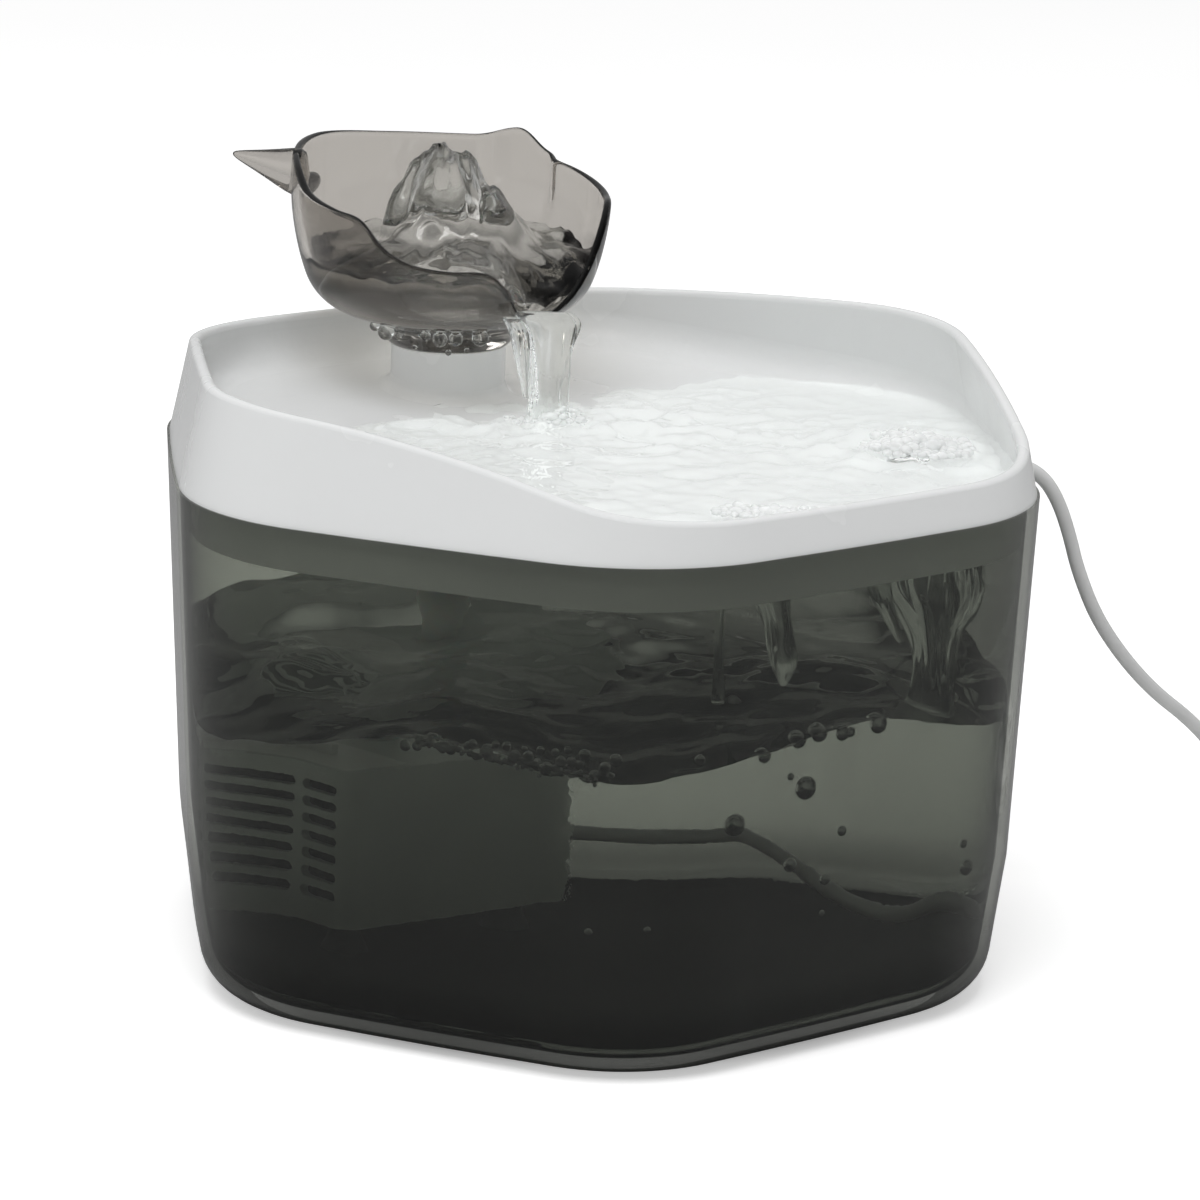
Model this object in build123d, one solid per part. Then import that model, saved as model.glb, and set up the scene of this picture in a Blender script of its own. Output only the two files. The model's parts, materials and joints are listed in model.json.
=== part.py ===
from build123d import *
import os
from math import atan2, cos, degrees, pi, radians, sin, sqrt, tan

# A pet water fountain in millimetres. The origin is the middle of the tank's flat underside, +Z is up and
# -Y is the low, drinking side of the tray. The tray, cup, lid and cartridge lift off along +Z.

# ---- Rounded hexagon shared by the tank and the tray ----
SIDE_APOTHEM = 94.5        # centre to the chord of a side, at the tank's rim
SIDE_BULGE = 1.5           # how far a side bows out past its chord
CORNER_R = 47.5

# ---- Tank ----
TANK_H = 115.0
TANK_WALL = 2.5
TANK_FLOOR = 3.0
CREASE_Z = 32.0            # height of the crease that runs round the walls
CREASE_INSET = 3.2         # how far the walls have come in at the crease
FOOT_TAPER = 7.0           # degrees, below the crease
FOOT_ROUND = 11.0

# ---- Tray ----
TRAY_WALL = 2.8
TRAY_STEP = 0.6            # the tank's rim stands out past the tray by this
TRAY_LEAN = 12.0           # degrees that the walls lean in
TRAY_RIM_ROUND = 1.2
TRAY_FLOOR = 2.5
FLOOR_TILT = 5.0           # degrees, falling to the drinking side
FLOOR_DROP = 0.3           # height of the floor over the seam, at the middle
BASIN_WALL = 5.5           # between the skirt's outside and the bowl, at the skirt's lower edge
BASIN_TAPER = 19.5         # degrees that the low part of the bowl opens upwards
BOWL_ROUND = 7.0
SKIRT_DEPTH = 10.0
SKIRT_WALL = 2.2
SKIRT_CLEARANCE = 0.35
LEDGE = 2.0                # thickness of the ledge that rests on the tank's rim
RIM_LINE = [(-88, 9.2), (-67, 14.4), (-45, 19.4), (-22, 22.6), (3, 23.8), (45, 22.9)]   # y, over the seam
RIM_FRONT = 9.1            # rim's height over the seam just past the front, and just past the back
RIM_BACK = 18.6
RIM_PAST = 6.0

# ---- Column, and the spigot below it ----
COLUMN_BACK = 36.5         # from the chord of the back side to the column's axis
COLUMN_R = 13.5
COLUMN_H = 16.0            # from the seam to the column's top
COLUMN_FLARE = 3.0
SEAT_DEPTH = 12.0          # depth of the bore that the ring and the stem sit in
SEAT_FLOOR = 3.5
RING_WALL = 1.6
RING_REST = 0.5            # from the ring's top to the column's
PASSAGE_R = 3.2
SPIGOT_R = 4.5
SPIGOT_DROP = 17.0         # from the seam down to the spigot's end

# ---- Drains: direction of the side that each is near, how far in from its chord, how far along, length ----
DRAINS = [(-30.0, 22.3, -9.1, 20.0), (-90.0, 28.5, -4.0, 15.0)]
DRAIN_WIDTH = 6.0

# ---- Spout cup, in its own directions: u towards the tail, v to the far side ----
CUP_TURN = -37.5
CUP_WALL = 1.8
CUP_PROFILE = [(18.0, 6.0), (27.0, 8.5), (33.0, 14.0), (36.0, 24.0), (37.4, 34.0), (37.0, 48.0)]
CUP_CEILING = 48.0
NEAR_RIM = [(-42, 46), (-34, 38.6), (-26, 35), (-19, 31.5), (-12, 26), (0, 23.6), (10, 22.6), (16, 13.5),
            (22, 10.8), (28, 13), (33, 22), (37, 30), (42, 36)]
FAR_RIM = [(-42, 45), (-32, 46.3), (-15, 45), (8, 44), (20, 42), (29, 38.5), (42, 35)]
COLLAR_R = 14.4
COLLAR_H = 6.0
STEM_R = 8.6
STEM_BORE = 6.0
STEM_LENGTH = 10.5
BEAK_R = 5.6
BEAK_BASE = 34.0
BEAK_Z = 39.5
BEAK_TIP = 50.2
BEAK_TIP_Z = 43.3
BEAK_TIP_R = 0.9
BEAK_WALL = 1.6

# ---- Clearances ----
RUNNING = 0.05             # radial, where one piece turns or slides in another
LOOSE = 0.3                # where one piece drops into another
SNUG = 0.1                 # where rubber or a hose goes over or into plastic

# ---- Filter box, on the tank's floor under the column ----
BOX_LEFT = 36.0            # from the column's axis to the grille's face
BOX_RIGHT = 31.5
BOX_FRONT = 30.0
BOX_REAR_GAP = 1.0         # from the pump's side to the box's back wall
BOX_LIFT = 6.5             # height of the suction cups
BOX_HEADROOM = 1.0         # from the pump to the lid
BOX_WALL = 2.0
BOX_ROUND = 5.5
SLOT_COUNT = 7
SLOT_H = 2.4
SLOT_PITCH = 4.1
SLOT_FIRST = 5.2           # lower edge of the first slot over the box's underside
SLOT_COLUMNS = [(3.2, 14.2), (16.2, 44.0)]   # from the box's front face
LID_T = 2.0
LIP_DEPTH = 1.6
LIP_T = 1.2
CUP_FOOT_R = 6.0
CUP_FOOT_NECK = 2.5
CUP_FOOT_WALL = 1.2
CUP_FOOT_MARGIN = 8.5

# ---- Filter cartridge ----
FRAME_DEPTH = 18.6         # along X
FRAME_BAR = 1.5
FRAME_END_GAP = 0.6        # to the box's wall and floor
FOAM_DEPTH = 8.3
DIVIDER_SLOTS = 5
CAP_MARGIN = 0.6           # how far the cap stands past the frame
TAB_H = 2.6
TAB_LENGTH = 14.0
TAB_T = 2.0

# ---- Pump: its rotor's axis runs along X, under the column ----
PUMP_FRONT = 5.0           # from the column's axis to the volute's open face
PUMP_BACK = 25.0
PUMP_WIDTH = 30.0
PUMP_WALL = 1.8
PUMP_ROUND = 3.0
CHAMBER_R = 11.0
CHAMBER_DEPTH = 10.0
WELL_R = 6.6
WELL_WALL = 1.4
WELL_DEPTH = 17.0
WELL_CAP = 0.9             # of plastic behind the rear bush
NOZZLE_R = 4.5
NOZZLE_LENGTH = 15.0
BUSH_SOCKET_R = 3.0
BUSH_LENGTH = 1.6
SHAFT_R = 1.0
COVER_T = 2.0
INTAKE_R = 5.4
SPIDER_R = 2.6
SPIDER_BAR = 1.2
FRONT_BUSH_R = 1.9
SEAL_R = 12.9
SEAL_WIRE = 0.7
MAGNET_R = 5.5
MAGNET_LENGTH = 15.5
IMPELLER_R = 9.4
HUB_R = 3.0
BLADES = 6
BLADE_T = 1.2
BLADE_DEPTH = 6.5
CORE_DEPTH = 10.0
CORE_MARGIN = 2.0          # from the chamber's back wall
CORE_REST = 0.3            # of resin, between the stator's legs and the pump's walls
YOKE_T = 2.0
POTTING_REST = 0.5         # from the resin to the pump's open end
COIL_T = 1.6
STATOR_GAP = 0.3           # of resin, between the stator and the well
COIL_REST = 0.2            # of resin, between the coil and the pump's floor
SLIDE_T = 1.2
SLIDE_W = 12.0
SLIDE_H = 8.0
SLIDE_TRAVEL = 5.0
SLIDE_REST = 2.0           # from the open slide's upper edge to the intake's middle
RAIL_T = 1.4
HOSE_WALL = 1.6
GLAND_SIDE = 8.0           # from the rotor's axis towards the box's front, and below it
GLAND_DROP = 5.0
GLAND_R = 3.2
GLAND_TIP_R = 2.4
GLAND_LENGTH = 9.0

# ---- Cord ----
CORD_R = 1.7
EXIT_ALONG = 22.0          # along that side from its middle
EXIT_DROP = 6.7            # from the tank's rim down to the cord
EXIT_NORMAL = -30.0        # degrees: the side that the cord leaves
GROMMET_HALF = 3.2
GROMMET_FLANGE = 1.0
GROMMET_PROUD = 1.0        # how far the grommet stands out of the wall
GROMMET_LIP = 1.5
OUTER_ROUTE = [(95.0, -29.45, 108.3), (100.2, -32.45, 108.3), (105.3, -34.8, 105.4), (109.3, -36.0, 99.9),
               (112.8, -36.8, 91.8), (116.8, -37.0, 80.5), (124.5, -37.5, 66.5), (140.0, -38.0, 50.0),
               (157.5, -39.0, 37.5), (171.0, -38.2, 23.5), (180.5, -38.5, 11.0), (188.0, -39.4, 3.8),
               (196.5, -40.0, 1.7), (205.0, -40.0, 1.7)]
INNER_ROUTE = [(33.5, 50.0, 22.0), (41.8, 50.0, 22.0), (48.0, 46.6, 19.9), (53.6, 38.9, 15.2),
               (58.8, 27.6, 9.8), (63.6, 14.8, 6.4), (68.8, 1.5, 6.0), (74.5, -11.5, 11.4),
               (80.3, -20.9, 25.0), (82.6, -24.6, 44.0), (82.3, -23.5, 63.0), (79.8, -20.9, 80.0),
               (78.7, -19.6, 93.0), (80.4, -20.5, 100.0), (83.9, -22.8, 105.4), (89.1, -26.05, 108.3),
               (95.0, -29.45, 108.3)]
COIL_CENTRE = (203.0, -64.0)
COIL_MEAN_R = 19.0
COIL_WIDE = 4              # turns side by side
COIL_HIGH = 3              # layers

# ---- USB plug, lying on the coil ----
PLUG_ACROSS = 18.0         # from the coil's middle
PLUG_W = 15.0
PLUG_L = 19.0
PLUG_T = 7.4
PLUG_ROUND = 1.6
BOOT_L = 8.0
BOOT_R = 2.9
SHELL_W = 12.0
SHELL_T = 4.5
SHELL_L = 12.0
SHELL_WALL = 0.4
TONGUE_W = 9.6
TONGUE_T = 1.8
TONGUE_REST = 0.5          # from the tongue's end to the shell's

# ---- Places that follow from the sizes above ----
BASE = (Align.CENTER, Align.CENTER, Align.MIN)
REACH = 300.0              # longer than the fountain, for cuts that go right through
COLUMN_Y = SIDE_APOTHEM - COLUMN_BACK
COLUMN_TOP = TANK_H + COLUMN_H
SPIGOT_END = TANK_H - SPIGOT_DROP
EXIT_Z = TANK_H - EXIT_DROP
EXIT_FACE = SIDE_APOTHEM + SIDE_BULGE + GROMMET_PROUD
SEAM_INNER = TANK_WALL + CREASE_INSET * SKIRT_DEPTH / (TANK_H - CREASE_Z)
SKIRT_INSET = SEAM_INNER + SKIRT_CLEARANCE
FLOOR_MID = TANK_H + FLOOR_DROP
SEAT_Z = COLUMN_TOP - SEAT_DEPTH
RING_R = STEM_R + RUNNING + RING_WALL
SEAT_R = RING_R + RUNNING
PUMP_H = 2 * (WELL_R + WELL_WALL + STATOR_GAP + YOKE_T + 2 * COIL_T + COIL_REST + PUMP_WALL)
BOX_H = BOX_WALL + PUMP_H + BOX_HEADROOM
BOX_Z = TANK_FLOOR + BOX_LIFT
BOX_TOP = BOX_Z + BOX_H
BOX_IN_Z = BOX_Z + BOX_WALL
BOX_Y0 = COLUMN_Y - BOX_FRONT
BOX_Y1 = COLUMN_Y + PUMP_WIDTH / 2 + BOX_REAR_GAP + BOX_WALL
LID_TOP = BOX_TOP + LID_T
FRAME_X0 = -BOX_LEFT + BOX_WALL + FRAME_END_GAP
FRAME_X1 = FRAME_X0 + FRAME_DEPTH
FRAME_Y0 = BOX_Y0 + BOX_WALL + FRAME_END_GAP
FRAME_Y1 = BOX_Y1 - BOX_WALL - FRAME_END_GAP
FRAME_Z0 = BOX_IN_Z + FRAME_END_GAP
PUMP_AXIS_Z = BOX_IN_Z + PUMP_H / 2
PUMP_TOP = BOX_IN_Z + PUMP_H
GLAND_Y = COLUMN_Y - GLAND_SIDE
GLAND_Z = PUMP_AXIS_Z - GLAND_DROP
CHAMBER_BACK = CHAMBER_DEPTH - PUMP_FRONT
WELL_BACK = CHAMBER_BACK + WELL_DEPTH
WELL_OUT_R = WELL_R + WELL_WALL
NOZZLE_TOP = PUMP_TOP + NOZZLE_LENGTH
HOSE_R = NOZZLE_R + SNUG + HOSE_WALL
MAGNET_X = CHAMBER_BACK + 0.5
BORE_R = SHAFT_R + RUNNING
COVER_X = -PUMP_FRONT - COVER_T
CORE_X = (CHAMBER_BACK + PUMP_WALL + CORE_MARGIN, CHAMBER_BACK + PUMP_WALL + CORE_MARGIN + CORE_DEPTH)
YOKE_Z = PUMP_AXIS_Z - WELL_OUT_R - STATOR_GAP - COIL_T - YOKE_T
SLIDE_Z = PUMP_AXIS_Z - SLIDE_REST - SLIDE_H
WALL_LEAN = CREASE_INSET * (TANK_H - EXIT_Z + GROMMET_HALF) / (TANK_H - CREASE_Z)
GROMMET_INSIDE = EXIT_FACE - 2 * GROMMET_FLANGE - TANK_WALL - WALL_LEAN - SIDE_BULGE / 2


def block(x, y, z):
    """Box between the two values of each of x, y and z."""
    size = [high - low for low, high in (x, y, z)]
    return Pos((x[0] + x[1]) / 2, (y[0] + y[1]) / 2, z[0]) * Box(*size, align=BASE)


def rod(radius, low, high, x=0.0, y=0.0):
    """Upright cylinder from height low to height high."""
    return Pos(x, y, low) * Cylinder(radius, high - low, align=BASE)


def shaft(radius, start, end, y=COLUMN_Y, z=PUMP_AXIS_Z):
    """Cylinder along X, on the rotor's axis if not told otherwise."""
    return Pos(start, y, z) * Rot(0, 90, 0) * Cylinder(radius, end - start, align=BASE)


def rounded_block(x, y, z, corner):
    """Box with its four upright edges rounded."""
    solid = block(x, y, z)
    return fillet(solid.edges().filter_by(Axis.Z), corner)


def polar(radius, angle):
    return radius * cos(radians(angle)), radius * sin(radians(angle))


def arc(centre, radius, start, end, z):
    """Arc about centre at height z, between two angles in degrees."""
    angles = [start, (start + end) / 2, end]
    spots = [polar(radius, angle) for angle in angles]
    return ThreePointArc(*[(centre[0] + dx, centre[1] + dy, z) for dx, dy in spots])


def outline(inset, z):
    """Face of the rounded hexagon at height z, moved in by inset: bowed sides and round corners in turn."""
    half_side = SIDE_APOTHEM * tan(radians(30))
    side_r = (half_side**2 + SIDE_BULGE**2) / (2 * SIDE_BULGE)
    side_centre = SIDE_APOTHEM + SIDE_BULGE - side_r
    along = side_centre * cos(radians(30))
    corner_centre = along + sqrt(along**2 - side_centre**2 + (side_r - CORNER_R) ** 2)
    corner_x, corner_y = polar(corner_centre, 30)
    sweep_half = degrees(atan2(corner_y, corner_x - side_centre))
    edges = []
    for side in range(6):
        normal = 30 + 60 * side
        side_end = normal + sweep_half
        edges.append(arc(polar(side_centre, normal), side_r - inset, normal - sweep_half, side_end, z))
        centre = polar(corner_centre, normal + 30)
        edges.append(arc(centre, CORNER_R - inset, side_end, normal + 60 - sweep_half, z))
    return Face(Wire(edges))


def hexagon(*levels):
    """Solid through (inset, height) levels of the hexagon, straight between them."""
    return loft([outline(inset, z) for inset, z in levels], ruled=True)


def tank_inset(z):
    """How far the tank's outer wall has come in at height z."""
    if z < CREASE_Z:
        return CREASE_INSET + (CREASE_Z - z) * tan(radians(FOOT_TAPER))
    return CREASE_INSET * (TANK_H - z) / (TANK_H - CREASE_Z)


def tray_inset(z):
    """How far the tray's outer wall has come in at height z."""
    return TRAY_STEP + (z - TANK_H) * tan(radians(TRAY_LEAN))


def bowl_floor(y):
    """Height of the bowl's sloping floor."""
    return FLOOR_MID + y * tan(radians(FLOOR_TILT))


def side_place(n, t, z):
    """Point in the directions of the side that the cord leaves: n out of it, t along it, z up."""
    nx, ny = polar(n, EXIT_NORMAL)
    tx, ty = polar(t, EXIT_NORMAL + 90)
    return nx + tx, ny + ty, z


def side_block(n, half_width, z):
    """Box at the cord's exit, square to that side."""
    x, y, low = side_place((n[0] + n[1]) / 2, EXIT_ALONG, z[0])
    box = Box(n[1] - n[0], 2 * half_width, z[1] - z[0], align=BASE)
    return Pos(x, y, low) * Rot(0, 0, EXIT_NORMAL) * box


def side_rod(radius, start, end, z=EXIT_Z):
    """Cylinder along the cord's way out through the wall."""
    place = Pos(*side_place(start, EXIT_ALONG, z)) * Rot(0, 0, EXIT_NORMAL) * Rot(0, 90, 0)
    return place * Cylinder(radius, end - start, align=BASE)


# ---- Tank ----
def make_tank():
    """Clear tank: drafted walls with a low crease, a rounded foot and a notch for the cord's grommet."""
    outer = hexagon((tank_inset(0), 0), (CREASE_INSET, CREASE_Z), (0, TANK_H))
    outer = fillet(outer.edges().group_by(Axis.Z)[0], FOOT_ROUND)
    foot = (tank_inset(TANK_FLOOR) + TANK_WALL, TANK_FLOOR)
    inner = hexagon(foot, (CREASE_INSET + TANK_WALL, CREASE_Z), (TANK_WALL, TANK_H))
    inner = fillet(inner.edges().group_by(Axis.Z)[0], FOOT_ROUND - TANK_WALL)
    notch = side_block((SIDE_APOTHEM - 10, EXIT_FACE + 5), GROMMET_HALF, (EXIT_Z - GROMMET_HALF, TANK_H + 5))
    return outer - inner - notch


def make_grommet():
    """Rubber piece in the rim's notch: a plug with a flange on each face of the wall, round the cord."""
    wall_out = EXIT_FACE - GROMMET_FLANGE
    wall_in = GROMMET_INSIDE + GROMMET_FLANGE
    low = EXIT_Z - GROMMET_HALF
    seam_in = SIDE_APOTHEM + SIDE_BULGE - SEAM_INNER
    grommet = side_block((wall_in, wall_out), GROMMET_HALF - SNUG, (low + SNUG, EXIT_Z + GROMMET_HALF))
    grommet += side_block((seam_in, wall_out), GROMMET_HALF - SNUG, (EXIT_Z, TANK_H))
    wide = GROMMET_HALF + GROMMET_LIP
    grommet += side_block((wall_out, EXIT_FACE), wide, (low - GROMMET_LIP, TANK_H))
    inside = (GROMMET_INSIDE, GROMMET_INSIDE + GROMMET_FLANGE)
    grommet += side_block(inside, wide, (low - GROMMET_LIP, EXIT_Z + GROMMET_HALF))
    return grommet - side_rod(CORD_R + RUNNING, wall_in - 5, EXIT_FACE + 5)


# ---- Tray ----
def above_rim():
    """Everything above the rim's line."""
    end = SIDE_APOTHEM + SIDE_BULGE + RIM_PAST
    places = [(-end, RIM_FRONT), *RIM_LINE, (end, RIM_BACK)]
    line = Spline(*[(0, y, TANK_H + height) for y, height in places])
    roof = Polyline(line @ 1, (0, end, REACH), (0, -end, REACH), line @ 0)
    return Pos(-REACH / 2, 0, 0) * extrude(Face(Wire([line, *roof.edges()])), REACH, dir=(1, 0, 0))


def under_floor(depth):
    """Everything below a plane parallel to the bowl's floor, depth under it."""
    slab = Box(REACH, REACH, REACH, align=(Align.CENTER, Align.CENTER, Align.MAX))
    return Pos(0, 0, FLOOR_MID - depth) * Rot(FLOOR_TILT, 0, 0) * slab


def bowl_space():
    """The tray's hollow: walls that lean in, rounded into the sloping floor, tapered where it is low."""
    low, high = TANK_H - 15, TANK_H + 40
    space = hexagon((tray_inset(low) + TRAY_WALL, low), (tray_inset(high) + TRAY_WALL, high)) - under_floor(0)
    brink = [edge for edge in space.edges() if abs((edge @ 0.5).Z - bowl_floor((edge @ 0.5).Y)) < 0.01]
    space = fillet(brink, BOWL_ROUND)
    foot = TANK_H - SKIRT_DEPTH
    opening = (high - foot) * tan(radians(BASIN_TAPER))
    return space & hexagon((SKIRT_INSET + BASIN_WALL, foot), (SKIRT_INSET + BASIN_WALL - opening, high))


def under_space():
    """The hollow below the bowl's floor, inside the skirt."""
    inner = SKIRT_INSET + SKIRT_WALL
    high = TANK_H + 20
    lean = tray_inset(high) - tray_inset(TANK_H + LEDGE)
    space = hexagon((inner, TANK_H - 40), (inner, TANK_H + LEDGE), (inner + lean, high))
    return space & under_floor(TRAY_FLOOR)


def make_tray():
    """White tray: leaning walls, sloping bowl, skirt inside the tank, column and spigot, drains."""
    high = TANK_H + 30
    tray = hexagon((tray_inset(TANK_H), TANK_H), (tray_inset(high), high))
    tray += hexagon((SKIRT_INSET, TANK_H - SKIRT_DEPTH), (SKIRT_INSET, TANK_H))
    cutter = above_rim()
    tray = tray - bowl_space() - under_space() - cutter
    rim = cutter.faces().sort_by(Axis.Z)[0]
    ring = [edge for edge in tray.edges() if rim.distance_to(Vertex(edge @ 0.5)) < 0.01]
    tray = fillet(ring, TRAY_RIM_ROUND)
    floor = bowl_floor(COLUMN_Y)
    tray += rod(COLUMN_R, floor - TRAY_FLOOR / 2, COLUMN_TOP, y=COLUMN_Y)
    round_length = 2 * pi * COLUMN_R
    rounds = tray.edges().filter_by(lambda edge: abs(edge.length - round_length) < 1)
    tray = fillet(rounds.sort_by(Axis.Z)[-2], COLUMN_FLARE)
    tray += rod(SEAT_R + SEAT_FLOOR / 2, SEAT_Z - SEAT_FLOOR, floor - TRAY_FLOOR / 2, y=COLUMN_Y)
    tray += rod(SPIGOT_R, SPIGOT_END, SEAT_Z - SEAT_FLOOR / 2, y=COLUMN_Y)
    tray -= rod(SEAT_R, SEAT_Z, COLUMN_TOP + 5, y=COLUMN_Y)
    tray -= rod(PASSAGE_R, SPIGOT_END - 5, SEAT_Z + 1, y=COLUMN_Y)
    for normal, inward, along, length in DRAINS:
        slot = extrude(SlotOverall(length, DRAIN_WIDTH), 40)
        out_x, out_y = polar(SIDE_APOTHEM - inward, normal)
        along_x, along_y = polar(along, normal + 90)
        x, y = out_x + along_x, out_y + along_y
        tray -= Pos(x, y, TANK_H - 20) * slot
    below = TANK_H - SKIRT_DEPTH - 5
    tray -= side_block((GROMMET_INSIDE - LOOSE, SIDE_APOTHEM), GROMMET_HALF + GROMMET_LIP + LOOSE,
                       (below, EXIT_Z + GROMMET_HALF + LOOSE))
    return tray - side_block((GROMMET_INSIDE - 2 * SKIRT_WALL, SIDE_APOTHEM), CORD_R + LOOSE,
                             (below, EXIT_Z + CORD_R + LOOSE))


# ---- Spout cup ----
def cup_place():
    """From the cup's own directions, with its floor's outside at height COLLAR_H, to the fountain's."""
    return Pos(0, COLUMN_Y, COLUMN_TOP) * Rot(0, 0, CUP_TURN)


def cup_body(inset):
    """Turned bowl, or with an inset its hollow."""
    points = [(r - inset, 0, z) for r, z in CUP_PROFILE]
    floor = CUP_PROFILE[0][1] + inset
    ceiling = CUP_CEILING + inset
    wall = Spline(*[(x, 0, max(z, floor)) for x, _, z in points])
    rest = Polyline(wall @ 1, (points[-1][0], 0, ceiling + 1), (0, 0, ceiling + 1), (0, 0, floor), wall @ 0)
    return revolve(Face(Wire([wall, *rest.edges()])), Axis.Z)


def cup_cut(line, side):
    """Everything over a rim line, on the near side (-1) or the far side (1) of the cup."""
    edge = Spline(*[(u, 0, z) for u, z in line])
    roof = Polyline(edge @ 1, (line[-1][0], 0, REACH), (line[0][0], 0, REACH), edge @ 0)
    return extrude(Face(Wire([edge, *roof.edges()])), REACH, dir=(0, side, 0))


def beak_cone(base_r, tip_r, base_u, tip_u):
    """Cone from the cup's front wall out to the beak's tip."""
    rise = (BEAK_TIP_Z - BEAK_Z) / (BEAK_TIP - BEAK_BASE)
    ends = []
    for radius, u in ((base_r, base_u), (tip_r, tip_u)):
        place = Plane(origin=(-u, 0, BEAK_Z + rise * (u - BEAK_BASE)), z_dir=(-1, 0, rise))
        ends.append(place * Circle(radius))
    return loft(ends)


def make_cup():
    """Smoked cup: bowl with a bird's beak and a pouring notch, collar and hollow stem."""
    cup = cup_body(0) - cup_body(CUP_WALL)
    cup = cup - cup_cut(NEAR_RIM, -1) - cup_cut(FAR_RIM, 1)
    cup += beak_cone(BEAK_R, BEAK_TIP_R, BEAK_BASE + CUP_WALL / 2, BEAK_TIP)
    cup -= beak_cone(BEAK_R - BEAK_WALL, BEAK_TIP_R / 2, BEAK_BASE - CUP_WALL, BEAK_TIP - 2 * BEAK_WALL)
    cup += Cone(COLLAR_R, CUP_PROFILE[0][0], COLLAR_H, align=BASE)
    cup += rod(STEM_R, -STEM_LENGTH, COLLAR_H)
    cup -= rod(STEM_BORE, -STEM_LENGTH - 1, COLLAR_H + CUP_WALL + 1)
    return cup_place() * cup


def make_ring():
    """Silicone ring in the column's bore, that the cup's stem plugs into."""
    ring = rod(RING_R, SEAT_Z, COLUMN_TOP - RING_REST, y=COLUMN_Y)
    return ring - rod(STEM_R + RUNNING, SEAT_Z - 1, COLUMN_TOP, y=COLUMN_Y)


# ---- Filter box ----
def box_space(gap, z):
    """The box's hollow, gap in from its walls."""
    inset = BOX_WALL + gap
    return rounded_block(
        (-BOX_LEFT + inset, BOX_RIGHT - inset), (BOX_Y0 + inset, BOX_Y1 - inset), z, BOX_ROUND - inset)


def slot_cutter(start, end, low):
    """Round-ended slot through the box's left face."""
    middle = BOX_Y0 + (start + end) / 2
    face = Plane(origin=(-BOX_LEFT - 1, middle, low + SLOT_H / 2), x_dir=(0, 1, 0), z_dir=(1, 0, 0))
    return extrude(face * SlotOverall(end - start, SLOT_H), BOX_ROUND, dir=(1, 0, 0))


def make_filter_box():
    """Open box with a grille on its left face and a slot for the pump's cord on its right."""
    box = rounded_block((-BOX_LEFT, BOX_RIGHT), (BOX_Y0, BOX_Y1), (BOX_Z, BOX_TOP), BOX_ROUND)
    box -= box_space(0, (BOX_IN_Z, BOX_TOP + 1))
    for row in range(SLOT_COUNT):
        low = BOX_Z + SLOT_FIRST + row * SLOT_PITCH
        for start, end in SLOT_COLUMNS:
            box -= slot_cutter(start, end, low)
    half_gap = GLAND_R + LOOSE
    wall = (BOX_RIGHT - BOX_WALL - 1, BOX_RIGHT + 1)
    box -= block(wall, (GLAND_Y - half_gap, GLAND_Y + half_gap), (GLAND_Z, BOX_TOP + 1))
    return box - shaft(half_gap, *wall, GLAND_Y, GLAND_Z)


def cap_block(gap, z):
    """The cartridge's cap, or with a gap the opening for it."""
    edge = CAP_MARGIN + gap
    return block((FRAME_X0 - edge, FRAME_X1 + edge), (FRAME_Y0 - edge, FRAME_Y1 + edge), z)


def make_lid():
    """Flat lid with a lip inside the box, a hole for the hose and an opening for the cartridge."""
    lid = rounded_block((-BOX_LEFT, BOX_RIGHT), (BOX_Y0, BOX_Y1), (BOX_TOP, LID_TOP), BOX_ROUND)
    lip = box_space(LOOSE, (BOX_TOP - LIP_DEPTH, BOX_TOP))
    lip -= box_space(LOOSE + LIP_T, (BOX_TOP - LIP_DEPTH - 1, BOX_TOP + 1))
    lip -= block((-BOX_LEFT, FRAME_X1 + 2 * CAP_MARGIN), (BOX_Y0, BOX_Y1), (BOX_TOP - LIP_DEPTH, BOX_TOP))
    lid = lid + lip
    lid -= rod(HOSE_R + LOOSE, BOX_TOP - LIP_DEPTH, LID_TOP + 1, y=COLUMN_Y)
    return lid - cap_block(LOOSE / 2, (BOX_TOP - LIP_DEPTH, LID_TOP + 1))


def make_suction_cups():
    """Four rubber suction cups between the tank's floor and the box."""
    cups = []
    for x in (-BOX_LEFT + CUP_FOOT_MARGIN, BOX_RIGHT - CUP_FOOT_MARGIN):
        for y in (BOX_Y0 + CUP_FOOT_MARGIN, BOX_Y1 - CUP_FOOT_MARGIN):
            cup = Cone(CUP_FOOT_R, CUP_FOOT_NECK, BOX_LIFT, align=BASE)
            cup -= Cone(CUP_FOOT_R - CUP_FOOT_WALL, CUP_FOOT_WALL, BOX_LIFT - CUP_FOOT_WALL, align=BASE)
            cups.append(Pos(x, y, TANK_FLOOR) * cup)
    return Compound(children=cups)


# ---- Filter cartridge ----
def media_block(x):
    """Slab of filter media inside the cartridge's frame."""
    inset = FRAME_BAR + SNUG
    return block(x, (FRAME_Y0 + inset, FRAME_Y1 - inset), (FRAME_Z0 + inset, BOX_TOP - inset))


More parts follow.
